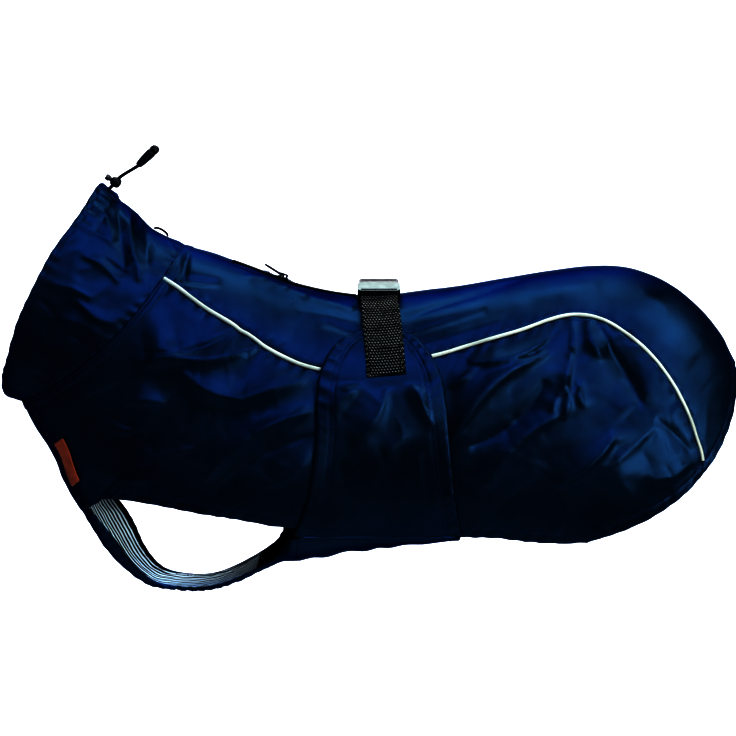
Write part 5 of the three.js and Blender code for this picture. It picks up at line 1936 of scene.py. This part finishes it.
@dataclass
class Belt:
    """The webbing belt and its side-release buckle."""

    finishes: Finishes
    width: float = 28
    end_height: float = -51.5
    top_x: float = -1
    end_x: float = 4.5
    lift: float = 4.5
    buckle_lift: float = 6.8
    buckle_length: float = 48
    buckle_middle: float = -4
    buckle_tilt: float = 6
    wall: float = 1.8
    row_pitch: float = 2.3
    twill_pitch: float = 2.2
    sewn_end: float = 22

    def webbing(self, side: Side) -> None:
        """Makes one half of the belt, woven in rows.

        Args:
            side: Which side.
        """
        flat = self.buckle_length / 2 * math.cos(math.radians(self.buckle_tilt))
        start_y = self.buckle_middle + side.value * flat - side.value * 5
        start = float(FORM.angle_of_width(FORM.spine_section(self.top_x), abs(start_y)))
        end = float(FORM.locate(np.array([self.end_x]), np.array([self.end_height]))[1][0])
        f = np.linspace(0, 1, 150)[:, None]
        j = np.linspace(0.5, -0.5, 60)[None, :]
        angle = start + (end - start) * f + 0 * j
        x = self.top_x + (self.end_x - self.top_x) * f + self.width * j * side.value
        t = FORM.section_through(x, angle)
        n = FORM.outward(FORM.body, t, side.value * angle)
        drop = smooth_step((f - 0.12) / 0.42)
        lift = self.buckle_lift + (self.lift - self.buckle_lift) * drop
        plain = FORM.body(t, side.value * angle)
        run = ClothGrid(plain).down
        over = (j + 0.5) * self.width
        rows = np.sin(2 * math.pi * run / self.row_pitch)
        twill = np.sin(2 * math.pi * over / self.twill_pitch + np.where(rows > 0, 0, math.pi) + run)
        weave = 0.16 * rows + 0.14 * twill * np.abs(rows)
        edge = smooth_step((0.5 - np.abs(j)) / 0.05)
        outer = plain + (lift + self.wall - 0.3 + weave * edge)[..., None] * n
        inner = plain + (lift + 0 * weave)[..., None] * n
        obj = cloth_wall(f"webbing_{side.hand}_strap", outer, inner)
        dress_piece(obj, f"webbing_{side.hand}", "webbing", self.finishes.webbing, self.finishes.webbing)
        grid = ClothGrid(outer)
        sign = facing(grid, n)
        lines = [(p, d * sign) for p, d in (grid.line_down(3, True), grid.line_down(self.sewn_end, True))]
        for level in (2.2, self.width - 2.4):
            p, d = grid.line_over(level)
            keep = grid.down[:, 0] > grid.down[-1, 0] - self.sewn_end
            lines.append((p[keep], d[keep] * sign))
        sewn = stitch_object(f"webbing_{side.hand}_stitching", lines, Thread(2.6, 1.9, 0.3, 0.2),
                             self.finishes.cord)
        declare_cloth(obj, grid)

    def build(self) -> None:
        """Makes both halves of the belt and the buckle."""
        for side in Side:
            self.webbing(side)
        # The socket's upward faces get a painted grey highlight of the top light; its other faces are its own
        # black plastic.
        rounded_copy("buckle_socket", "buckle_socket_shell", COAT, "buckle_face", self.finishes.grey, 0.9, 4,
                     self.finishes.black)
        rounded_copy("buckle_plug", "buckle_plug_shell", COAT, "black_plastic", self.finishes.black, 0.6, 3)
        LOG.info("belt done")


@dataclass
class HarnessZip:
    """The zip on the spine: tapes, coil, slider and pull tab."""

    finishes: Finishes
    half_slit: float = 9.5
    tape_inner: float = 2.2
    tape_top: float = 0.2
    tape_wall: float = 1
    coil_pitch: float = 1.35
    coil_half_width: float = 1.9
    coil_top: float = 1.1

    def spine_strip(self, name: str, node: str, from_y: float, to_y: float, top: float, wall: float,
                    material: bpy.types.Material, slot: str) -> bpy.types.Object:
        """Makes a strip along the zip.

        Args:
            name: The piece's name.
            node: The node that it stands for.
            from_y: One edge's distance from the middle plane.
            to_y: The other's.
            top: Height over the cloth line.
            wall: Thickness.
            material: Its finish.
            slot: Its material slot in the record.

        Returns:
            The strip.
        """
        front, rear = FORM.zip_range
        ends = [FORM.spine_section(x) for x in (front + 0.6, rear - 0.6)]
        t = np.linspace(*ends, 110)[:, None]
        y = np.linspace(from_y, to_y, 9)[None, :]
        angle = np.sign(y) * FORM.angle_of_width(t + 0 * y, y)
        t_grid = t + 0 * angle
        outer = FORM.cloth(t_grid, angle, top, 0)
        inner = FORM.cloth(t_grid, angle, top - wall, 0)
        obj = cloth_wall(name, outer, inner)
        dress_piece(obj, node, slot, material, material)
        return obj

    def coil(self) -> None:
        """Makes the zip's coil from single turns."""
        front, rear = FORM.zip_range
        ends = [FORM.spine_section(x) for x in (front + 1.5, rear - 1.5)]
        t = np.linspace(*ends, 400)
        line = FORM.cloth(t, 0 * t, self.coil_top - 0.75, 0)
        up = FORM.outward(FORM.body, t, 0 * t)
        middle, up = resample(line, up, self.coil_pitch)
        along = unit(np.gradient(middle, axis=0))
        parts = []
        for place, lift, run in zip(middle, up, along):
            over = np.array([0.0, 1.0, 0.0])
            for side in (-1, 1):
                bend = np.linspace(-1, 1, 7)
                own = place + run * (0.33 * side * self.coil_pitch / 0.9)
                reach = np.outer(side * (0.55 + 1.15 * (bend + 1) / 2), over)
                points = own + reach + np.outer(0.75 * np.cos(bend * 1.25), lift)
                parts.append(sweep(points, 0.42, 6, np.tile(run, (len(points), 1))))
        obj = mesh_object("zip_coil", *join_parts(parts), sharp_degrees=60)
        dress_piece(obj, None, "black_plastic", self.finishes.black)
        self.spine_strip("zip_chain_core", "zip_chain", -self.coil_half_width, self.coil_half_width,
                         self.coil_top - 0.5, 1.3, self.finishes.tape, "black_plastic")

    def build(self) -> None:
        """Makes the whole zip."""
        for side in Side:
            inner, outer = side.value * self.tape_inner, side.value * (self.half_slit + 0.4)
            self.spine_strip(f"zip_tape_{side.hand}_weave", f"zip_tape_{side.hand}", inner, outer,
                             self.tape_top, self.tape_wall, self.finishes.tape, "zip_tape")
        self.coil()
        rounded_copy("zip_slider", "zip_slider_cast", COAT, "zip_metal", self.finishes.metal, 0.3)
        rounded_copy("zip_pull", "zip_pull_tab", PULL_TAB, "zip_metal", self.finishes.metal, 0.3)
        LOG.info("zip done")


def turned(name: str, profile: Sequence[tuple[float, float]], start: np.ndarray, direction: np.ndarray,
           sides: int = 28) -> bpy.types.Object:
    """Makes a turned piece along a line.

    Args:
        name: The piece's name.
        profile: Distance along and radius, in millimetres.
        start: Where the line starts.
        direction: Where it runs.
        sides: Corners of the round.

    Returns:
        The object.
    """
    line = np.array([start + unit(direction) * place for place, _ in profile])
    radius = np.array([max(r, 0.02) for _, r in profile])
    along = unit(direction)
    up = unit(np.cross(along, np.array([0.0, 1.0, 0.0])))
    across = np.cross(along, up)
    turn = full_turn(sides)
    ring = np.cos(turn)[:, None] * across + np.sin(turn)[:, None] * up
    corners = (line[:, None] + radius[:, None, None] * ring[None]).reshape(-1, 3)
    obj = mesh_object(name, corners, tube_faces(len(line), sides), sharp_degrees=42)
    face_outward(obj.data)
    return obj


@dataclass
class Drawcord:
    """The collar's drawcord: two strands, cord lock and cord end."""

    finishes: Finishes
    radius: float = 1.2
    spread: float = 1.4
    lock: tuple[float, float, float] = (-203.6, 0, 90)
    lock_axis: tuple[float, float, float] = (-0.86, 0, 0.51)
    lock_length: float = 8.6
    lock_radius: float = 4
    end_root: tuple[float, float, float] = (-186.4, 0, 102.6)
    end_tip: tuple[float, float, float] = (-170.8, 0, 117.4)
    end_radius: float = 3.6
    eyelet: tuple[float, float, float] = (0.92, 0.05, 0.031)

    def route(self, side: Side) -> np.ndarray:
        """One strand's route out of the collar, through the lock and into the cord end.

        Args:
            side: Which strand.

        Returns:
            Points in millimetres.
        """
        along, angle, apart = self.eyelet
        own = np.array(-angle + side.value * apart)
        place = np.array(along)
        seat = FORM.collar_cloth(place, own, FORM.casing_extra, 0)
        out = -FORM.outward(FORM.collar, place, own)
        y = side.value * self.spread
        lock, root, tip = (np.array(v, float) for v in (self.lock, self.end_root, self.end_tip))
        into = unit(tip - root)
        stops = np.array([
            seat - out * 1.6, seat + out * 0.6, lock + (0, y, 0), lock + (4.4, y, 4.6),
            root + (0, y, 0) - into * 0.7, root + (0, y * 0.9, 0) + into * 2.2,
        ])
        gaps = run_length(stops)
        index = np.interp(np.linspace(0, gaps[-1], 30), gaps, np.arange(len(stops)))
        return read_table(stops, index)

    def strand(self, side: Side) -> bpy.types.Object:
        """Makes one strand as a curve.

        Args:
            side: Which strand.

        Returns:
            The curve.
        """
        points = self.route(side) * MM
        curve = bpy.data.curves.new(f"drawcord_{side.hand}_strand", "CURVE")
        curve.dimensions = "3D"
        curve.bevel_depth = self.radius * MM
        curve.bevel_resolution = 4
        curve.use_fill_caps = True
        spline = curve.splines.new("POLY")
        spline.points.add(len(points) - 1)
        spline.points.foreach_set("co", np.pad(points, ((0, 0), (0, 1)), constant_values=1).ravel())
        spline.use_smooth = True
        obj = bpy.data.objects.new(curve.name, curve)
        bpy.context.scene.collection.objects.link(obj)
        dress_piece(obj, f"drawcord_{side.hand}", "cord", self.finishes.cord)
        return obj

    def fittings(self) -> tuple[bpy.types.Object, bpy.types.Object, bpy.types.Object]:
        """Makes the lock's body, its plunger and the cord end."""
        axis = unit(np.array(self.lock_axis, float))
        half = self.lock_length / 2
        steps = np.linspace(-1, 1, 15)
        round_body = [(half + half * s, self.lock_radius * (1 - abs(s) ** 2.6) ** (1 / 2.6)) for s in steps]
        body = turned("cord_lock_body", round_body, np.array(self.lock) - axis * half, axis)
        top = np.array(self.lock) + axis * (half - 0.4)
        knob = [(0, 1.7), (1.5, 1.7), (1.7, 2.35), (4.3, 2.4), (4.8, 2.1), (5, 0)]
        plunger = turned("cord_lock_button", knob, top, axis, 4)
        edge = plunger.modifiers.new("round", "BEVEL")
        edge.width = 0.4 * MM
        edge.segments = 3
        root, tip = np.array(self.end_root, float), np.array(self.end_tip, float)
        length = float(np.linalg.norm(tip - root))
        shape = ((0, 0), (0.01, 0.62), (0.05, 0.72), (0.1, 0.74), (0.16, 0.82), (0.3, 0.9), (0.48, 0.97),
                 (0.66, 1.0), (0.7, 0.95), (0.72, 0.86), (0.74, 0.95), (0.82, 1.0), (0.92, 0.9), (0.98, 0.6),
                 (1, 0))
        profile = [(f * length, r * self.end_radius) for f, r in shape]
        end = turned("cord_end_grip", profile, root, tip - root)
        for obj, node in ((body, "cord_lock"), (plunger, "cord_lock_plunger"), (end, "cord_end")):
            dress_piece(obj, node, "black_plastic", self.finishes.black)
        return body, plunger, end

    def build(self) -> None:
        """Makes the cord and what is on it."""
        body, plunger, end = self.fittings()
        for side, pieces in ((Side.LEFT, [end, body, plunger]), (Side.RIGHT, [end])):
            obj = self.strand(side)
            route = self.route(side) * MM


@dataclass
class Patch:
    """The bare leather patch on the left of the chest."""

    finishes: Finishes
    from_section: float = 1.75
    to_section: float = 3.15
    near: float = 2.2
    far: float = 13.5
    lift: float = 0.45
    wall: float = 1.3
    inset: float = 1.5

    def build(self) -> None:
        """Makes the patch and its stitched border."""
        t = np.linspace(self.from_section, self.to_section, 44)[:, None]
        distance = np.linspace(self.near, self.far, 16)[None, :]
        end = FORM.end_angle(t + 0 * distance)
        angle = -(end - FORM.angle_step(t + 0 * distance, end, 1.0) * distance)
        t_grid = t + 0 * distance
        outer = FORM.cloth(t_grid, angle, self.lift + self.wall, 0.4)
        inner = FORM.cloth(t_grid, angle, self.lift, 0.4)
        obj = cloth_wall("label_patch_leather", outer, inner)
        dress_piece(obj, "label_patch", "label", self.finishes.leather, self.finishes.leather)
        grid = ClothGrid(outer)
        border = []
        for line in (grid.line_over, grid.line_down):
            border += [line(self.inset), line(self.inset, True)]
        lines = turned_out(grid, outer - inner, border)
        stitch_object("label_patch_stitching", lines, Thread(2.4, 1.7, 0.22, 0.1), self.finishes.leather)
        LOG.info("patch done")


@dataclass(frozen=True)
class SoftBox:
    """A soft light: where it stands and points in metres, its width and height, watts and colour."""

    name: str
    place: Point
    aim: Point
    size: tuple[float, float]
    power: float
    colour: Colour = (1, 1, 1)

    def build(self) -> None:
        """Adds the light."""
        data = bpy.data.lights.new(self.name, "AREA")
        data.shape = "RECTANGLE"
        data.size, data.size_y = self.size
        data.energy = self.power
        data.color = self.colour
        obj = bpy.data.objects.new(self.name, data)
        bpy.context.scene.collection.objects.link(obj)
        obj.location = self.place
        obj.rotation_euler = (Vector(self.aim) - Vector(self.place)).to_track_quat("-Z", "Y").to_euler()


SOFT_BOXES = (
    SoftBox("top_box", (0.05, 0.1, 1.25), (0, 0, 0), (1.1, 0.5), 24),
    SoftBox("front_top_box", (0, -1.08, 0.92), (0, 0, 0), (1.4, 0.42), 30, (0.35, 0.6, 1.0)),
    SoftBox("far_top_box", (0, 1.1, 0.95), (0, 0, 0), (1.4, 0.42), 26),
    SoftBox("strap_box", (0.55, -0.85, -0.03), (-0.19, 0, -0.19), (0.3, 0.2), 9),
    SoftBox("rear_top_box", (0.85, -0.45, 0.8), (0.2, 0, 0), (0.5, 0.3), 13),
    SoftBox("backdrop_box", (0, 1.7, 2.2), (0, 3.9, -0.5), (3.2, 0.8), 130),
    SoftBox("backdrop_foot_box", (0, 1.4, 1.6), (0, 2.6, -1), (3.2, 0.5), 40),
)


@dataclass
class Studio:
    """Camera, pale floor and soft light."""

    location: tuple[float, float, float] = (-0.00936, -1.58443, 0.16808)
    pitch_degrees: float = 8
    focal: float = 100.334
    sensor: float = 36
    gamma: float = 0.37
    floor_height: float = -1.0
    floor_colour: Colour = (0.75, 0.75, 0.75)

    def camera(self) -> None:
        """Sets the camera at the photograph's angle."""
        data = bpy.data.cameras.new("photo_camera")
        data.lens = self.focal
        data.sensor_width = self.sensor
        data.sensor_fit = "HORIZONTAL"
        data.clip_end = 50
        obj = bpy.data.objects.new("photo_camera", data)
        bpy.context.scene.collection.objects.link(obj)
        obj.location = self.location
        obj.rotation_euler = (math.radians(90 - self.pitch_degrees), 0, 0)
        bpy.context.scene.camera = obj

    def floor(self) -> None:
        """Makes a pale floor that curves up into a backdrop on every side."""
        rows, columns = 40, 72
        f = np.linspace(0, 1, rows)[:, None]
        turn = full_turn(columns)[None, :]
        radius = 3600 * np.minimum(1, f * 1.6) + 400 * smooth_step((f - 0.5) / 0.3)
        height = self.floor_height / MM + 4200 * smooth_step((f - 0.55) / 0.45)
        x, y = radius * np.cos(turn), radius * np.sin(turn)
        points = np.stack([x, y, height + 0 * x], -1).reshape(-1, 3)
        faces = [[i * columns + k, i * columns + (k + 1) % columns, (i + 1) * columns + (k + 1) % columns,
                  (i + 1) * columns + k] for i in range(rows - 1) for k in range(columns)]
        obj = mesh_object("studio_floor", points, faces, sharp_degrees=180)
        nodes = NodeTree("studio_paper")
        cloud = nodes.noise(1.5, 2)
        paler = tuple(min(1.0, c * 1.02) for c in self.floor_colour)
        nodes.dress(Base_Color=nodes.blend(cloud, rgba(self.floor_colour), rgba(paler)), Roughness=0.9)
        obj.data.materials.append(nodes.material)

    def build_lights(self) -> None:
        """Adds the soft boxes, the faint blue surroundings and the view's contrast."""
        for box in SOFT_BOXES:
            box.build()
        world = bpy.data.worlds.new("studio_air")
        bpy.context.scene.world = world
        world.use_nodes = True
        back = world.node_tree.nodes["Background"]
        back.inputs["Color"].default_value = (0.02, 0.1, 1, 1)
        back.inputs["Strength"].default_value = 0.12
        settings = bpy.context.scene.view_settings
        settings.view_transform = "Standard"
        settings.look = "None"
        settings.gamma = self.gamma


def main() -> None:
    """Builds the camera, the cord, every sub-assembly and the light, in that order."""
    logging.basicConfig(level=logging.INFO, format="%(message)s")
    studio = Studio()
    studio.camera()
    finishes = Finishes()
    for part in (Drawcord(finishes), Shell(finishes), Collar(finishes), Underside(finishes), Belt(finishes),
                 HarnessZip(finishes), Patch(finishes)):
        part.build()
        LOG.info("built %s", type(part).__name__)
    studio.floor()
    studio.build_lights()


if __name__ == "__main__":
    main()
